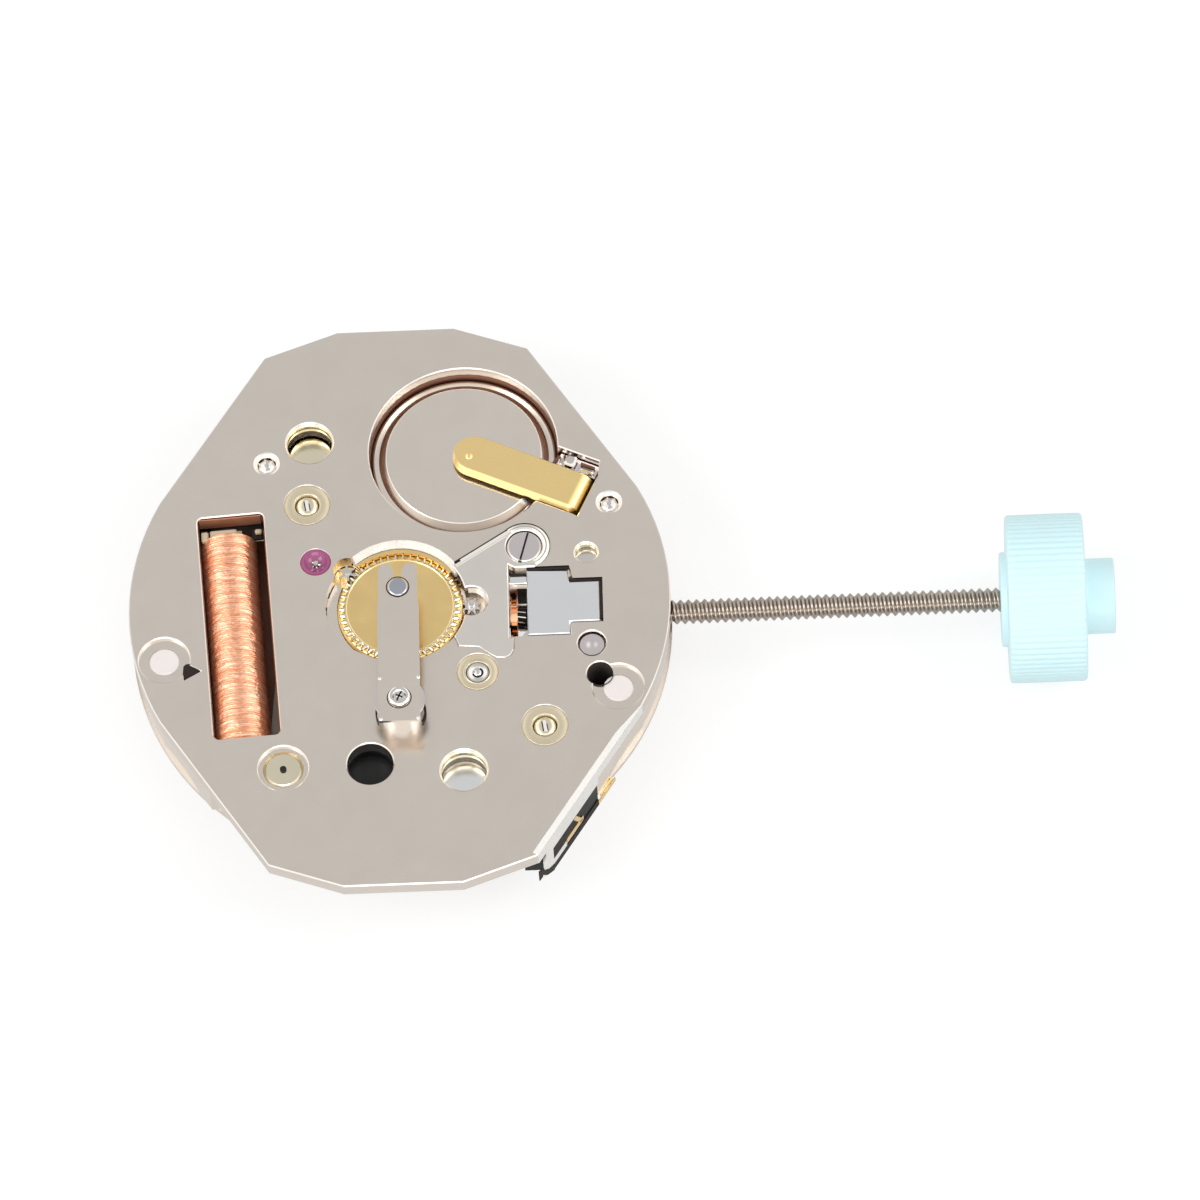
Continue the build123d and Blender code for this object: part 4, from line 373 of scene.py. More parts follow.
def revolve(profile, centre, seg=64, start=0.0, end=360.0):
    """Ring, or part of one, through a closed (radius, height) outline."""
    whole = end - start >= 359.9
    columns = seg if whole else seg + 1
    verts, faces = [], []
    n = len(profile)
    for k in range(columns):
        a = math.radians(start + (end - start) * k / seg)
        for r, z in profile:
            verts.append((centre[0] + r * math.cos(a), centre[1] + r * math.sin(a), z))
    for k in range(seg):
        m = (k + 1) % columns
        for j in range(n):
            q = (j + 1) % n
            faces.append((k * n + j, m * n + j, m * n + q, k * n + q))
    if not whole:
        faces.append(tuple(range(n))[::-1])
        faces.append(tuple(seg * n + j for j in range(n)))
    return verts, faces


def flat_ring(inner, outer, low, high, centre, seg=64, start=0.0, end=360.0):
    """Ring, or part of one, with a rectangular section."""
    outline = [(inner, low), (outer, low), (outer, high), (inner, high)]
    return revolve(outline, centre, seg, start, end)


def block(centre, size, angle=0.0, edge=0.02):
    """Small block with broken edges, turned about the vertical."""
    hx, hy, hz = (v / 2 for v in size)
    e = min(edge, hx * 0.6, hy * 0.6, hz * 0.6)
    c, d = math.cos(math.radians(angle)), math.sin(math.radians(angle))
    verts, faces = [], []
    for z, cut in ((-hz, e), (-hz + e, 0), (hz - e, 0), (hz, e)):
        x, y = hx - cut, hy - cut
        for u, v in (
            (-x + e, -y), (x - e, -y), (x, -y + e), (x, y - e),
            (x - e, y), (-x + e, y), (-x, y - e), (-x, -y + e),
        ):
            verts.append((centre[0] + u * c - v * d, centre[1] + u * d + v * c, centre[2] + z))
    for j in range(3):
        for k in range(8):
            m = (k + 1) % 8
            faces.append((j * 8 + k, j * 8 + m, j * 8 + 8 + m, j * 8 + 8 + k))
    faces.append(tuple(range(8))[::-1])
    faces.append(tuple(24 + k for k in range(8)))
    return verts, faces


def gear(teeth, root, tip, low, high, edge, inner=None):
    """Toothed disc with broken upper edges and, if asked, a step on its face."""
    tooth = [
        (-0.30, 0.0), (-0.22, 0.45), (-0.15, 0.86), (-0.07, 1.0), (0.07, 1.0),
        (0.15, 0.86), (0.22, 0.45), (0.30, 0.0), (0.42, -0.06), (0.58, -0.06),
    ]
    base = []
    for t in range(teeth):
        for share, lift in tooth:
            base.append((math.radians((t + share) * 360 / teeth), root + (tip - root) * lift))
    n = len(base)

    def inset(by):
        made = []
        pts = [(r * math.cos(a), r * math.sin(a)) for a, r in base]
        for k in range(n):
            x0, y0 = pts[k - 1]
            x1, y1 = pts[(k + 1) % n]
            length = math.hypot(x1 - x0, y1 - y0) or 1
            made.append((pts[k][0] - (y1 - y0) / length * by, pts[k][1] + (x1 - x0) / length * by))
        return made

    def circle(r):
        return [(r * math.cos(a), r * math.sin(a)) for a, _ in base]

    layers = [
        (low, inset(0)), (high - edge, inset(0)),
        (high - edge * 0.25, inset(edge * 0.7)), (high, inset(edge)),
    ]
    if inner:
        face = high - 0.018
        layers += [(high, circle(inner)), (face, circle(inner - 0.03)), (face, circle(0.3))]
    else:
        layers += [(high, circle(root * 0.6))]
    verts, faces = [], []
    for z, pts in layers:
        verts.extend((x, y, z) for x, y in pts)
    for j in range(len(layers) - 1):
        for k in range(n):
            m = (k + 1) % n
            faces.append((j * n + k, j * n + m, (j + 1) * n + m, (j + 1) * n + k))
    faces.append(tuple(range(n))[::-1])
    faces.append(tuple((len(layers) - 1) * n + k for k in range(n)))
    return verts, faces


# Coil: helical ridges, coarser than the real wire and uneven as if fed by hand
COIL = {"x": -6.05, "y": -0.67, "z": 1.14, "low": -4.55, "high": 3.90, "r": 1.07}


def coil_place(s, u, v):
    lean = math.radians(COIL_TILT)
    return (
        COIL["x"] - s * math.sin(lean) + u * math.cos(lean),
        COIL["y"] + s * math.cos(lean) + u * math.sin(lean),
        COIL["z"] + v,
    )


def coil_radius(s, r, a):
    fine = 0.5 + 0.5 * math.cos(2 * math.pi * s / COIL_PITCH - a)
    lump = math.sin(2 * math.pi * s / 0.36 + 1.3 * math.sin(1.7 * s)) * math.sin(3 * a + 2.1 * s)
    return r - 0.006 * fine - 0.008 * (1 + lump) - 0.006 * (1 + math.sin(0.9 * s + a))


coil_steps = int((COIL["high"] - COIL["low"]) / COIL_PITCH * 8)
coil_rings = []
for i in range(coil_steps + 1):
    s = COIL["low"] + (COIL["high"] - COIL["low"]) * i / coil_steps
    t = 2 * i / coil_steps - 1
    coil_rings.append((s, COIL["r"] - 0.03 * (1 - t * t)))
turns = lathe(coil_rings, 96, coil_place, coil_radius)
detail("coil_turns", turns, copper, "copper_wire", node="coil_winding", smooth=True)


# Stem with a true helical thread
def on_stem(s, u, v):
    return (s, u, STEM_Z + v)


def thread(s, r, a):
    turn = (s / THREAD_PITCH - a / (2 * math.pi)) % 1.0
    ridge = max(0.0, 1 - abs(turn - 0.5) / 0.42)
    return r + 0.115 * min(ridge * 1.15, 1.0)


def step(low, high, r, edge=0.03):
    """Length of one radius with rounded ends."""
    rings = [
        (low, r - edge), (low + edge * 0.3, r - edge * 0.3), (low + edge, r),
        (high - edge, r), (high - edge * 0.3, r - edge * 0.3), (high, r - edge),
    ]
    return lathe(rings, 48, on_stem)


half = 0.25
square = [
    on_stem(s, u, v)
    for s in (3.92, 5.00)
    for u, v in ((-half, -half), (half, -half), (half, half), (-half, half))
]
thread_steps = int((THREAD_END - THREAD_START) / THREAD_PITCH * 14)
thread_rings = [
    (THREAD_START + (THREAD_END - THREAD_START) * i / thread_steps, 0.335)
    for i in range(thread_steps + 1)
]
stem = merged([
    step(3.10, 3.94, 0.22),
    step(4.99, 5.13, 0.50),
    step(5.13, 5.58, 0.25, 0.001),
    step(5.58, THREAD_START, 0.50),
    (square, prism_faces(4)),
    lathe(thread_rings, 40, on_stem, thread),
    step(21.86, 23.44, 0.33, 0.02),
])
detail("stem_thread", stem, painted_shade_steel, "polished_steel", "stem_and_crown", "stem", smooth=True)


# Crown with fine ribs and soft edges
def ribs(s, r, a):
    if not 22.16 < s < 24.90 or r < 2.9:
        return r
    wave = 0.5 + 0.5 * math.cos(72 * a)
    return r - 0.04 * (1 - wave ** 0.6)


profile = [
    (21.86, 0.36), (21.86, 1.66), (21.88, 1.71), (21.93, 1.73), (22.08, 1.73), (22.10, 1.76),
    (22.10, 2.92), (22.115, 2.98), (22.15, 3.03), (22.20, 3.065),
]
profile += [(22.20 + 2.64 * i / 8, 3.07) for i in range(1, 8)]
profile += [
    (24.84, 3.065), (24.89, 3.03), (24.925, 2.98), (24.94, 2.92), (24.94, 1.42), (24.97, 1.385),
    (25.05, 1.38), (25.95, 1.38), (26.0, 1.36), (26.025, 1.31), (26.03, 1.24),
]
crown = lathe(profile, 432, on_stem, ribs)
detail("crown_body", crown, crown_plastic, "crown_plastic", "stem_and_crown", "crown", smooth=True)

# Seconds wheel with rounded teeth, broken edges and a stepped face
wheel = gear(50, 2.051, 2.232, 1.83, 1.95, 0.045, 1.96)
leaves = gear(8, 0.219, 0.380, 1.42, 1.831, 0.01)
disc = detail("seconds_disc", merged([wheel, leaves]), gilt, "gilt_brass", "seconds", "seconds_wheel")
# The teeth take a paler brass than the disc: a painted highlight on them
disc.data.materials.append(pale_brass)
for poly in disc.data.polygons:
    poly.material_index = 1 if poly.center.to_2d().length > 1.99 * MM else 0
train_rim = flat_ring(1.88, 2.30, 1.795, 1.812, (0, 0), 96, 155, 489)
detail("train_rim", train_rim, gilt, "gilt_brass", smooth=True)

# Sloping wall round the upper half of the opening, painted near white as a highlight
wall = [(2.335, 1.70), (2.335, 1.965), (2.53, 2.19), (2.546, 2.188), (2.546, 1.70)]
detail("opening_wall", revolve(wall, (0, 0.11), 96, 30, 132), painted_highlight_white, "nickel_plate")
collar = flat_ring(2.246, 2.40, 1.80, 1.935, (0, 0), 96, 36, 130)
detail("wheel_collar", collar, gilt, "gilt_brass")

# Pocket of the coil: brown sheets of painted shade along its walls and floor, dark blocks of painted
# shade by its end, the coil's lead and bits of its ends
POCKET_AT = (-5.87, -0.67)


def in_pocket(s, u, z, size, edge=0.005):
    """Block placed by its way along the coil, s, and across it, u."""
    lean = math.radians(COIL_TILT)
    x = POCKET_AT[0] - s * math.sin(lean) + u * math.cos(lean)
    y = POCKET_AT[1] + s * math.cos(lean) + u * math.sin(lean)
    return block((x, y, z), size, COIL_TILT, edge)


pocket_shade = [
    in_pocket(-0.3, 1.190, 1.15, (0.03, 8.60, 1.75)),
    in_pocket(0, -1.195, 1.05, (0.02, 9.10, 1.55), 0.004),
    in_pocket(0, 0.92, 0.30, (0.58, 9.10, 0.03)),
    in_pocket(0, -0.92, 0.30, (0.58, 9.10, 0.03)),
]
detail("coil_lining", merged(pocket_shade), painted_shade_brown, "black_resin")
lead = in_pocket(4.595, -0.02, 1.80, (2.24, 0.03, 0.62))
detail("coil_lead", lead, winding_brown, "copper_wire")
end_shade = [
    in_pocket(4.30, 0.0, 1.30, (2.26, 0.56, 0.04)),
    in_pocket(4.08, 0.92, 1.62, (0.36, 0.40, 0.06), 0.01),
]
detail("coil_shelf", merged(end_shade), dark, "black_resin")
bobbin_bits = [
    in_pocket(4.12, -0.30, 1.72, (0.98, 0.30, 0.30), 0.05),
    in_pocket(4.02, -0.98, 1.80, (0.26, 0.40, 0.24), 0.05),
    in_pocket(4.10, 0.98, 1.76, (0.24, 0.16, 0.20), 0.04),
]
detail("coil_ends", merged(bobbin_bits), beige, "beige_resin")

# Battery with a sloping shoulder round its flat, and a brown ring and wall of painted shade in the
# gap, which the shoulder mirrors
can_profile = [
    (0.30, 3.30), (0.34, 3.37), (0.40, 3.38), (1.41, 3.38), (1.455, 3.36),
    (1.475, 3.30), (1.482, 3.13), (1.49, 3.115), (1.735, 2.87), (1.75, 2.84),
]
detail("battery_can", turned(can_profile, BATTERY_AT, 160), can, "battery_can", node="battery")
gap_rim = flat_ring(3.384, 3.466, 1.28, 1.32, BATTERY_AT, 128)
gap_side = revolve([(3.436, 1.30), (3.466, 1.30), (3.466, 1.74), (3.456, 1.74)], BATTERY_AT, 128)
detail("battery_gap_rim", merged([gap_rim, gap_side]), painted_shade_brown, "black_resin", smooth=True)


# Contact strip with bevelled edges, bent down at its outer end
def strip_mesh():
    turn = math.radians(STRIP_TURN)
    along = Vector((math.cos(turn), math.sin(turn), 0))
    across = Vector((-math.sin(turn), math.cos(turn), 0))
    lift = Vector((0, 0, 1))
    start = Vector((*STRIP_START, 0))
    top, thick, half, bend, reach = 2.17, 0.24, 0.80, 0.45, 3.96
    path = []
    for k in range(2, 25):
        t = math.pi / 2 * k / 24
        path.append((-half * math.cos(t), top, half * math.sin(t), 0.0))
    path.append((reach, top, half, 0.0))
    for k in range(1, 17):
        t = math.pi / 2 * k / 16
        path.append((reach + bend * math.sin(t), top - bend + bend * math.cos(t), half, t))
    path.append((reach + bend, 0.95, half, math.pi / 2))
    verts, faces = [], []
    for s, z, w, t in path:
        out = along * math.sin(t) + lift * math.cos(t)
        spot = start + along * s + lift * z
        e, f = min(0.17, w * 0.4), min(0.05, w * 0.2)
        for v, d in ((-w, thick), (-w, 0.18), (-w + e, 0.0), (w - f, 0.0), (w, 0.06), (w, thick)):
            verts.append(tuple(spot + across * v - out * d))
    for j in range(len(path) - 1):
        for k in range(6):
            m = (k + 1) % 6
            faces.append((j * 6 + k, (j + 1) * 6 + k, (j + 1) * 6 + m, j * 6 + m))
    faces.append(tuple(range(6)))
    last = (len(path) - 1) * 6
    faces.append(tuple(last + k for k in range(6))[::-1])
    return verts, faces


dimple = [(2.16, 0.13), (2.175, 0.13), (2.19, 0.11), (2.203, 0.07), (2.21, 0.03)]
strip = merged([strip_mesh(), turned(dimple, (2.63, 6.11), 32)])
detail("contact_strip", strip, strip_gilt, "gilt_brass", node="battery_contact")


def by_strip(s, w, z, size, angle, edge):
    """Block placed by its way along the contact strip, s, and beside it, w."""
    turn = math.radians(STRIP_TURN)
    x = STRIP_START[0] + s * math.cos(turn) - w * math.sin(turn)
    y = STRIP_START[1] + s * math.sin(turn) + w * math.cos(turn)
    return block((x, y, z), size, angle, edge)


tabs = [
    by_strip(3.34, 1.165, 1.985, (0.42, 0.46, 0.24), STRIP_TURN, 0.09),
    by_strip(2.98, 1.03, 1.90, (0.14, 0.30, 0.18), -10, 0.04),
    by_strip(4.05, 1.06, 1.93, (0.52, 0.16, 0.16), STRIP_TURN, 0.05),
]
detail("contact_tabs", merged(tabs), steel, "polished_steel")
ledge = by_strip(3.62, 1.17, 1.80, (1.56, 0.52, 0.04), STRIP_TURN, 0.01)
detail("contact_ledge", ledge, mauve_steel, "nickel_plate")
# Small brown blocks of painted shade beside the strip
bits = [
    by_strip(2.80, 1.10, 1.86, (0.10, 0.40, 0.10), -40, 0.02),
    by_strip(3.10, 1.22, 1.88, (0.10, 0.34, 0.10), 10, 0.02),
    by_strip(3.98, 1.26, 1.90, (0.56, 0.10, 0.10), STRIP_TURN, 0.02),
]
detail("contact_bits", merged(bits), painted_shade_brown, "black_resin")

# Bushes with rounded lips, brass linings of the deeper holes, and a dark cup of painted shade in the
# right foot's hole
lip = [
    (0.44, 1.62), (0.828, 1.62), (0.828, 2.18), (0.815, 2.20), (0.80, 2.205), (0.78, 2.196),
    (0.60, 2.190), (0.53, 2.192), (0.49, 2.20), (0.46, 2.17), (0.44, 2.10),
]
bushes = merged([revolve(lip, at) for at in STUDS_AT])
detail("lipped_bushes", bushes, bush, "bush_brass", node="bridge_bushes", smooth=True)
yoke_lip = [(r * 0.892, z) for r, z in lip[1:8]] + [(0.47, 2.20), (0.43, 2.16), (0.425, 1.62)]
detail("yoke_lip", revolve(yoke_lip, YOKE_AT), bush, "bush_brass", node="yoke_bush", smooth=True)


def lining_of(centre, radius, low):
    edge = radius - 0.002
    return flat_ring(edge - 0.02, edge, low, 2.15, centre)


linings = merged([
    lining_of((2.24, -7.02), 0.85, 1.30),
    lining_of((-3.22, 6.91), 0.86, 1.30),
    lining_of((6.84, 1.84), 0.42, 1.80),
])
detail("brass_linings", linings, pale_brass, "bush_brass", smooth=True)
cup = [(0.02, 0.62), (0.02, 0.64), (0.458, 0.64), (0.458, 2.13), (0.478, 2.13), (0.478, 0.62)]
detail("foot_hole_lining", revolve(cup, (7.2375, -3.2258)), dark, "black_resin", smooth=True)

# Lever head: flat cap, its slot darkened by a strip of painted shade
cap = turned([(2.150, 0.60), (2.168, 0.60), (2.174, 0.59)], LEVER_AT)
detail("lever_cap", cap, mauve_steel, "nickel_plate", "lever", smooth=True)
lever_slot = block((*LEVER_AT, 2.176), (1.16, 0.075, 0.008), 75, 0.002)
detail("lever_slot", lever_slot, dark, "black_resin", "lever")

# Raised edge along the cover and round the lever head
along = Vector((2.01, 1.315)).normalized()
outward = Vector((along.y, -along.x))
verts, faces = [], []
for x, y in ((2.02, 1.60), (4.03, 2.915)):
    for w, z in ((0.0, 2.165), (0.0, 2.195), (0.15, 2.236), (0.18, 2.236), (0.20, 2.19)):
        verts.append((x + outward.x * w, y + outward.y * w, z))
for k in range(5):
    m = (k + 1) % 5
    faces.append((k, m, 5 + m, 5 + k))
faces += [(4, 3, 2, 1, 0), (5, 6, 7, 8, 9)]
raised = [(0.70, 2.19), (0.93, 2.19), (0.915, 2.205), (0.84, 2.236), (0.80, 2.236), (0.71, 2.205)]
round_lever = revolve(raised, LEVER_AT, 96, -62, 130)
detail("cover_edge", merged([(verts, faces), round_lever]), cool_nickel, "nickel_plate")

# Studs: domes with a slot painted as a bright highlight between two lines of painted shade
stud = [(1.62, 0.415), (2.03, 0.415), (2.09, 0.39), (2.13, 0.33), (2.15, 0.24), (2.156, 0.12)]
domes = merged([turned(stud, at) for at in STUDS_AT])
detail("domed_studs", domes, pale_brass, "bush_brass", node="bridge_studs", smooth=True)
painted_shade_bits, lights = [], []
for x, y in STUDS_AT:
    lights.append(block((x, y, 2.152), (0.46, 0.12, 0.012), STUD_SLOT_TURN, 0.003))
    painted_shade_bits.append(block((x - 0.085, y - 0.02, 2.150), (0.40, 0.045, 0.012), STUD_SLOT_TURN, 0.003))
    painted_shade_bits.append(block((x + 0.085, y - 0.06, 2.150), (0.30, 0.045, 0.012), STUD_SLOT_TURN, 0.003))

# Pivot in the yoke's bush, screw of the strap and its flange
pivot = [
    (1.70, 0.40), (2.09, 0.40), (2.14, 0.34), (2.16, 0.25),
    (2.13, 0.17), (2.17, 0.10), (2.18, 0.04),
]
detail("yoke_pivot", turned(pivot, YOKE_AT, 24), steel, "polished_steel")
# Dark ring of painted shade round the yoke's pivot
painted_shade_bits.append(flat_ring(0.14, 0.21, 2.13, 2.155, YOKE_AT, 24, 200, 420))
screw = [
    (3.395, 0.40), (3.50, 0.40), (3.55, 0.38), (3.575, 0.33),
    (3.575, 0.24), (3.53, 0.20), (3.53, 0.10), (3.545, 0.06),
]
screw_head = turned(screw, STRAP_SCREW_AT, 32)
detail("strap_screw_head", screw_head, steel, "polished_steel", node="strap_screw")
# Painted shade: slot of the strap's screw, dark rings round its head and round the seconds arbor,
# dark arcs on the pillar's flange
painted_shade_bits += [
    block((*STRAP_SCREW_AT, 3.540), (0.36, 0.06, 0.03), 65, 0.003),
    block((*STRAP_SCREW_AT, 3.540), (0.26, 0.06, 0.03), 155, 0.003),
    flat_ring(0.41, 0.45, 3.40, 3.406, STRAP_SCREW_AT, 48, 110, 430),
    flat_ring(0.845, 0.925, 2.30, 2.328, STRAP_SCREW_AT, 64, -30, 62),
    flat_ring(0.875, 0.92, 2.30, 2.328, STRAP_SCREW_AT, 64, 140, 205),
    flat_ring(0.39, 0.43, 3.398, 3.404, (0, 0), 48),
]
dot = [(3.39, 0.07), (3.405, 0.07), (3.425, 0.05), (3.435, 0.02)]
dots = [turned(dot, at, 12) for at in ((-0.70, -3.78), (0.70, -3.78), (-0.67, -5.46), (0.67, -5.46))]
detail("strap_dots", merged(dots), steel, "polished_steel")

# Painted shade: dark start of the cover's raised edge, dark sheet on the wall in the clutch's
# opening, dark line round the lever
painted_shade_bits += [
    block((2.14, 1.64, 2.19), (0.24, 0.11, 0.06), 33, 0.01),
    block((4.49, 0.772, 1.00), (0.46, 0.010, 1.10), 0, 0.002),
]
cover_line = flat_ring(0.795, 0.812, 2.230, 2.239, LEVER_AT, 96, -50, 120)
detail("cover_line", cover_line, iron, "nickel_plate")

# Guide plate: strips of painted shade in the gap above and beside it and by its inner end, and a lip
# at its inner end
painted_shade_bits += [
    block((5.46, 1.252, 2.10), (1.62, 0.10, 0.08), 0, 0.005),
    block((6.80, 0.712, 2.10), (1.14, 0.10, 0.08), 0, 0.005),
    block((7.345, -0.10, 2.10), (0.10, 1.62, 0.08), 0, 0.005),
    block((4.32, 1.09, 2.02), (0.60, 0.10, 0.06), 0, 0.005),
]
detail("guide_lip", block((4.33, 0.86, 2.00), (0.62, 0.30, 0.10)), guide_nickel, "nickel_plate")

# Dark three-cornered hole beside the left foot, filled with a prism of painted shade
corner = []
for k in range(3):
    for d in (-24, 0, 24):
        a = math.radians(120 * k + d * 0.9 - 4)
        reach = 1 if d else 1.06
        corner.append((0.33 * math.cos(a) * reach, 0.33 * math.sin(a) * reach))
verts = [(-7.64 + x, -2.52 + y, z) for z in (2.10, 2.19) for x, y in corner]
detail("left_slot_fill", (verts, prism_faces(9)), dark, "black_resin")

# Faceted pins, pin beside the right foot with a dark ring of painted shade round it, star of the
# rotor's pivot, dot of painted shade on the coil's pillar
pin = [(0.22, 0.335), (1.99, 0.335), (2.06, 0.23), (2.09, 0.09)]
pins = merged([turned(pin, at, 7) for at in ((-4.80, 6.09), (7.72, 3.92))])
detail("faceted_pins", pins, steel, "polished_steel", node="locating_pins")
dome = [
    (1.62, 0.50), (2.05, 0.50), (2.085, 0.475), (2.09, 0.42),
    (2.085, 0.26), (2.10, 0.16), (2.115, 0.08), (2.12, 0.03),
]
dome_head = turned(dome, DOME_AT, 32)
detail("dome_head", dome_head, mauve_steel, "polished_steel", node="dome_pin", smooth=True)
painted_shade_bits.append(flat_ring(0.44, 0.475, 2.088, 2.094, DOME_AT, 48))
star = moved(gear(5, 0.07, 0.19, 1.98, 2.05, 0.03), -3.04, 1.86)
detail("rotor_star", star, steel, "polished_steel")
painted_shade_bits.append(turned([(2.085, 0.12), (2.15, 0.12), (2.16, 0.09)], (-4.29, -6.66), 24))
# White strips of painted highlight in the studs' slots
detail("slot_lights", merged(lights), white, "white_resin")
# Dark pieces of painted shade: slots, rings in gaps round heads and pins, arcs on the pillar's
# flange, the guide plate's gap, the cover's edge, the clutch's opening and the dot on the coil's
# pillar
detail("dark_marks", merged(painted_shade_bits), dark, "black_resin")

# Lower slanted side: bevel and band painted white as a highlight, recess with its bent contact,
# sheets of painted shade in the recess and along the edge below, patches of painted highlight in the
# recess
SIDE_TURN, SIDE_REACH = math.radians(-32.8), 9.83
SIDE_BLOCK_TURN = 57.2


def on_side(s, inset=0.0):
    reach = SIDE_REACH - inset
    return (
        reach * math.cos(SIDE_TURN) + s * math.sin(SIDE_TURN),
        reach * math.sin(SIDE_TURN) - s * math.cos(SIDE_TURN),
    )


def side_sheet(start, end, low, high, inset=-0.015, thick=0.04):
    """Upright sheet on the side, from start to end along it."""
    centre = (*on_side((start + end) / 2, inset + thick / 2), (low + high) / 2)
    return block(centre, (end - start, thick, high - low), SIDE_BLOCK_TURN, 0.004)


def side_prism(corners, inner, outer):
    """Flat piece on the side through (s, z) corners, between two insets."""
    verts = [(*on_side(s, inset), z) for inset in (inner, outer) for s, z in corners]
    return verts, prism_faces(len(corners))


verts, faces = [], []
for s, wide in ((-0.85, 0.1), (0.60, 1.0), (6.30, 1.0)):
    for inset, z in (
        (-0.015, 2.17), (-0.015, 2.203), (0.20 * wide, 2.203 + 0.027 * wide),
        (0.225 * wide, 2.20), (0.225 * wide, 2.17),
    ):
        verts.append((*on_side(s, inset), z))
for row in (0, 5):
    for k in range(5):
        m = (k + 1) % 5
        faces.append((row + k, row + 5 + k, row + 5 + m, row + m))
faces += [(0, 1, 2, 3, 4), (14, 13, 12, 11, 10)]
bevel = [
    (verts, faces),
    side_sheet(-0.85, 6.30, 1.60, 2.19),
    side_sheet(2.25, 5.80, 1.20, 1.64, -0.012),
]
detail("side_bevel", merged(bevel), painted_highlight_white, "nickel_plate")
slant = [(5.30, 0.04), (5.40, -0.36), (5.84, -0.04), (6.32, 0.72), (6.32, 0.98), (5.72, 0.26)]
dim = [
    side_sheet(3.70, 5.35, 0.40, 1.19, 0.0, 0.02),
    side_sheet(6.12, 6.34, 0.30, 0.90),
    side_sheet(2.30, 5.42, -0.36, 0.04, -0.002),
    side_prism(slant, 0.03, -0.018),
]
detail("side_dark", merged(dim), dark, "black_resin")
bent = [
    side_sheet(3.35, 4.48, 0.22, 0.50, -0.02, 0.03),
    side_prism([(3.34, 0.24), (3.52, 0.24), (3.98, 1.14), (3.80, 1.18)], 0.02, -0.02),
    side_sheet(1.15, 2.30, -0.36, -0.12, -0.002),
]
detail("side_contact", merged(bent), gilt, "gilt_brass")
light = [side_sheet(4.50, 6.00, 0.06, 0.38, -0.012), side_sheet(5.36, 6.00, 0.38, 1.18, -0.012)]
detail("side_light", merged(light), painted_highlight_white, "nickel_plate")

# Dark tube of painted shade on the core of the clutch, striped by steel bars
core_shade = lathe([(4.25, 0.44), (4.26, 0.463), (4.72, 0.463), (4.73, 0.44)], 48, on_stem)
detail("clutch_sleeve", core_shade, dark, "black_resin", "clutch")
bar_faces = [(0, 1, 5, 4), (1, 2, 6, 5), (2, 3, 7, 6), (3, 0, 4, 7), (3, 2, 1, 0), (4, 5, 6, 7)]
bars = []
for k in range(16):
    a = 2 * math.pi * k / 16
    verts = []
    for x, turn in ((4.25, a), (4.56, a + 0.10)):
        for r, d in ((0.455, -0.05), (0.49, -0.04), (0.49, 0.04), (0.455, 0.05)):
            verts.append(on_stem(x, r * math.cos(turn + d), r * math.sin(turn + d)))
    bars.append((verts, bar_faces))
detail("clutch_bars", merged(bars), steel, "polished_steel", "clutch")

# Floor: it glows by one level to the camera and by another in reflections
FLOOR = -2.335
FLOOR_REACH = 3.0
FLOOR_SHOWN, FLOOR_MIRRORED = 0.66, 0.42
floor_mesh = bpy.data.meshes.new("floor")
floor_mesh.from_pydata(
    [(x * FLOOR_REACH, y * FLOOR_REACH, FLOOR * MM) for x, y in ((-1, -1), (1, -1), (1, 1), (-1, 1))],
    [], [(0, 1, 2, 3)],
)
floor = bpy.data.objects.new("floor", floor_mesh)
bpy.context.scene.collection.objects.link(floor)
mat = bpy.data.materials.new("floor")
mat.use_nodes = True
nt = mat.node_tree
nt.nodes.clear()
out = nt.nodes.new("ShaderNodeOutputMaterial")
diffuse = nt.nodes.new("ShaderNodeBsdfDiffuse")
diffuse.inputs[0].default_value = (0.42, 0.42, 0.42, 1)
glow = nt.nodes.new("ShaderNodeEmission")
glow.inputs[0].default_value = (1, 1, 1, 1)
rays = nt.nodes.new("ShaderNodeLightPath")
seen = calc(nt, "MAXIMUM", rays.outputs["Is Camera Ray"], rays.outputs["Is Transmission Ray"])
shown = calc(nt, "MULTIPLY", seen, FLOOR_SHOWN)
level = calc(nt, "MULTIPLY_ADD", rays.outputs["Is Glossy Ray"], FLOOR_MIRRORED, shown)
nt.links.new(level, glow.inputs[1])
both = nt.nodes.new("ShaderNodeAddShader")
nt.links.new(diffuse.outputs[0], both.inputs[0])
nt.links.new(glow.outputs[0], both.inputs[1])
nt.links.new(both.outputs[0], out.inputs[0])
floor_mesh.materials.append(mat)

# Lamps, all aimed at one point of the part
LAMP_AIM = Vector((4, 0, 1)) * MM


def lamp(name, place, watts, size):
    data = bpy.data.lights.new(name, "AREA")
    data.shape = "RECTANGLE"
    data.size, data.size_y = size[0] * MM, size[1] * MM
    data.energy = watts
    obj = bpy.data.objects.new(name, data)
    obj.location = Vector(place) * MM
    obj.rotation_euler = (LAMP_AIM - obj.location).to_track_quat("-Z", "Y").to_euler()
    bpy.context.scene.collection.objects.link(obj)


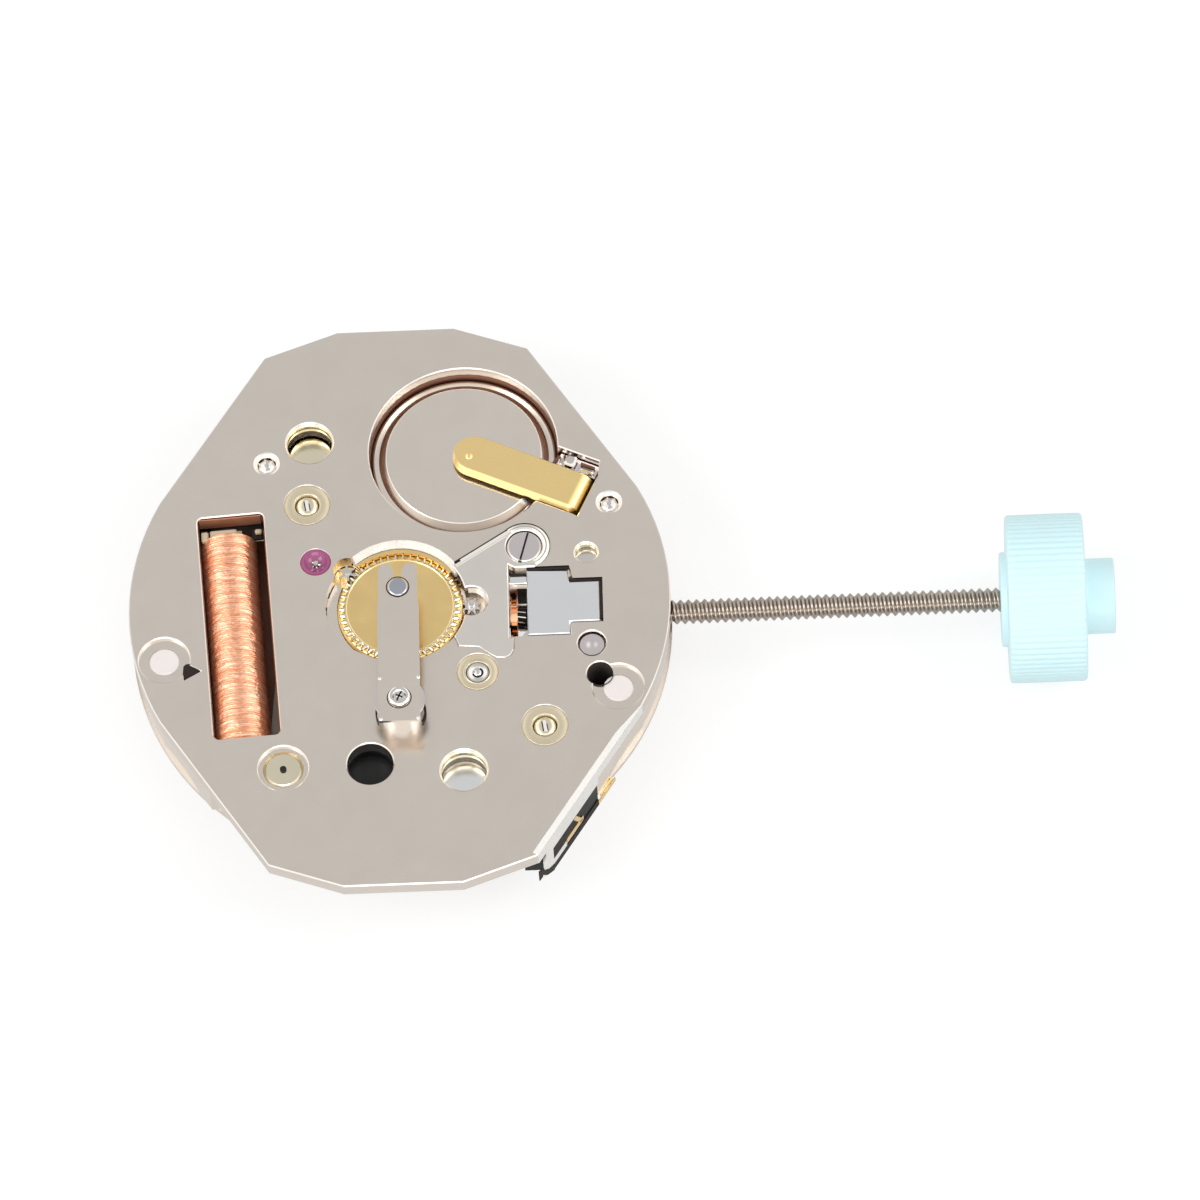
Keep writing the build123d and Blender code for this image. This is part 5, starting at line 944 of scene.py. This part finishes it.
lamp("lamp_left", (-330, -150, 330), 0.80, (260, 260))
lamp("lamp_right", (350, -60, 330), 0.60, (260, 260))
lamp("lamp_front", (20, -420, 160), 0.50, (420, 160))

# World: white to the camera, dim as a light, brighter to the front and the sides in reflections
WORLD_SHOWN, WORLD_DIFFUSE = 1.0, 0.55
WORLD_MIRRORED, WORLD_MIRRORED_MORE = 0.66, 0.62
world = bpy.data.worlds.new("world")
bpy.context.scene.world = world
world.use_nodes = True
nt = world.node_tree
nt.nodes.clear()
out = nt.nodes.new("ShaderNodeOutputWorld")
ground = nt.nodes.new("ShaderNodeBackground")
ground.inputs[0].default_value = (1, 1, 1, 1)
rays = nt.nodes.new("ShaderNodeLightPath")
direction = nt.nodes.new("ShaderNodeTexCoord")
sides = nt.nodes.new("ShaderNodeSeparateXYZ")
nt.links.new(direction.outputs["Generated"], sides.inputs[0])


def rise(value, low, high):
    node = nt.nodes.new("ShaderNodeMapRange")
    node.interpolation_type = "SMOOTHSTEP"
    node.inputs["From Min"].default_value = low
    node.inputs["From Max"].default_value = high
    nt.links.new(value, node.inputs["Value"])
    return node.outputs[0]


def mix(factor, a, b):
    node = nt.nodes.new("ShaderNodeMix")
    nt.links.new(factor, node.inputs["Factor"])
    feed(nt, node.inputs["A"], a)
    feed(nt, node.inputs["B"], b)
    return node.outputs["Result"]


seen = calc(nt, "MAXIMUM", rays.outputs["Is Camera Ray"], rays.outputs["Is Glossy Ray"])
seen = calc(nt, "MAXIMUM", seen, rays.outputs["Is Transmission Ray"])
width = calc(nt, "ABSOLUTE", sides.outputs[0])
front = calc(nt, "MULTIPLY", sides.outputs[1], -1.0)
bright = calc(nt, "MAXIMUM", rise(width, 0.14, 0.34), rise(front, 0.05, 0.35))
mirrored = calc(nt, "MULTIPLY_ADD", bright, WORLD_MIRRORED_MORE, WORLD_MIRRORED)
mirrored = mix(rays.outputs["Is Camera Ray"], mirrored, WORLD_SHOWN)
nt.links.new(mix(seen, WORLD_DIFFUSE, mirrored), ground.inputs[1])
nt.links.new(ground.outputs[0], out.inputs[0])
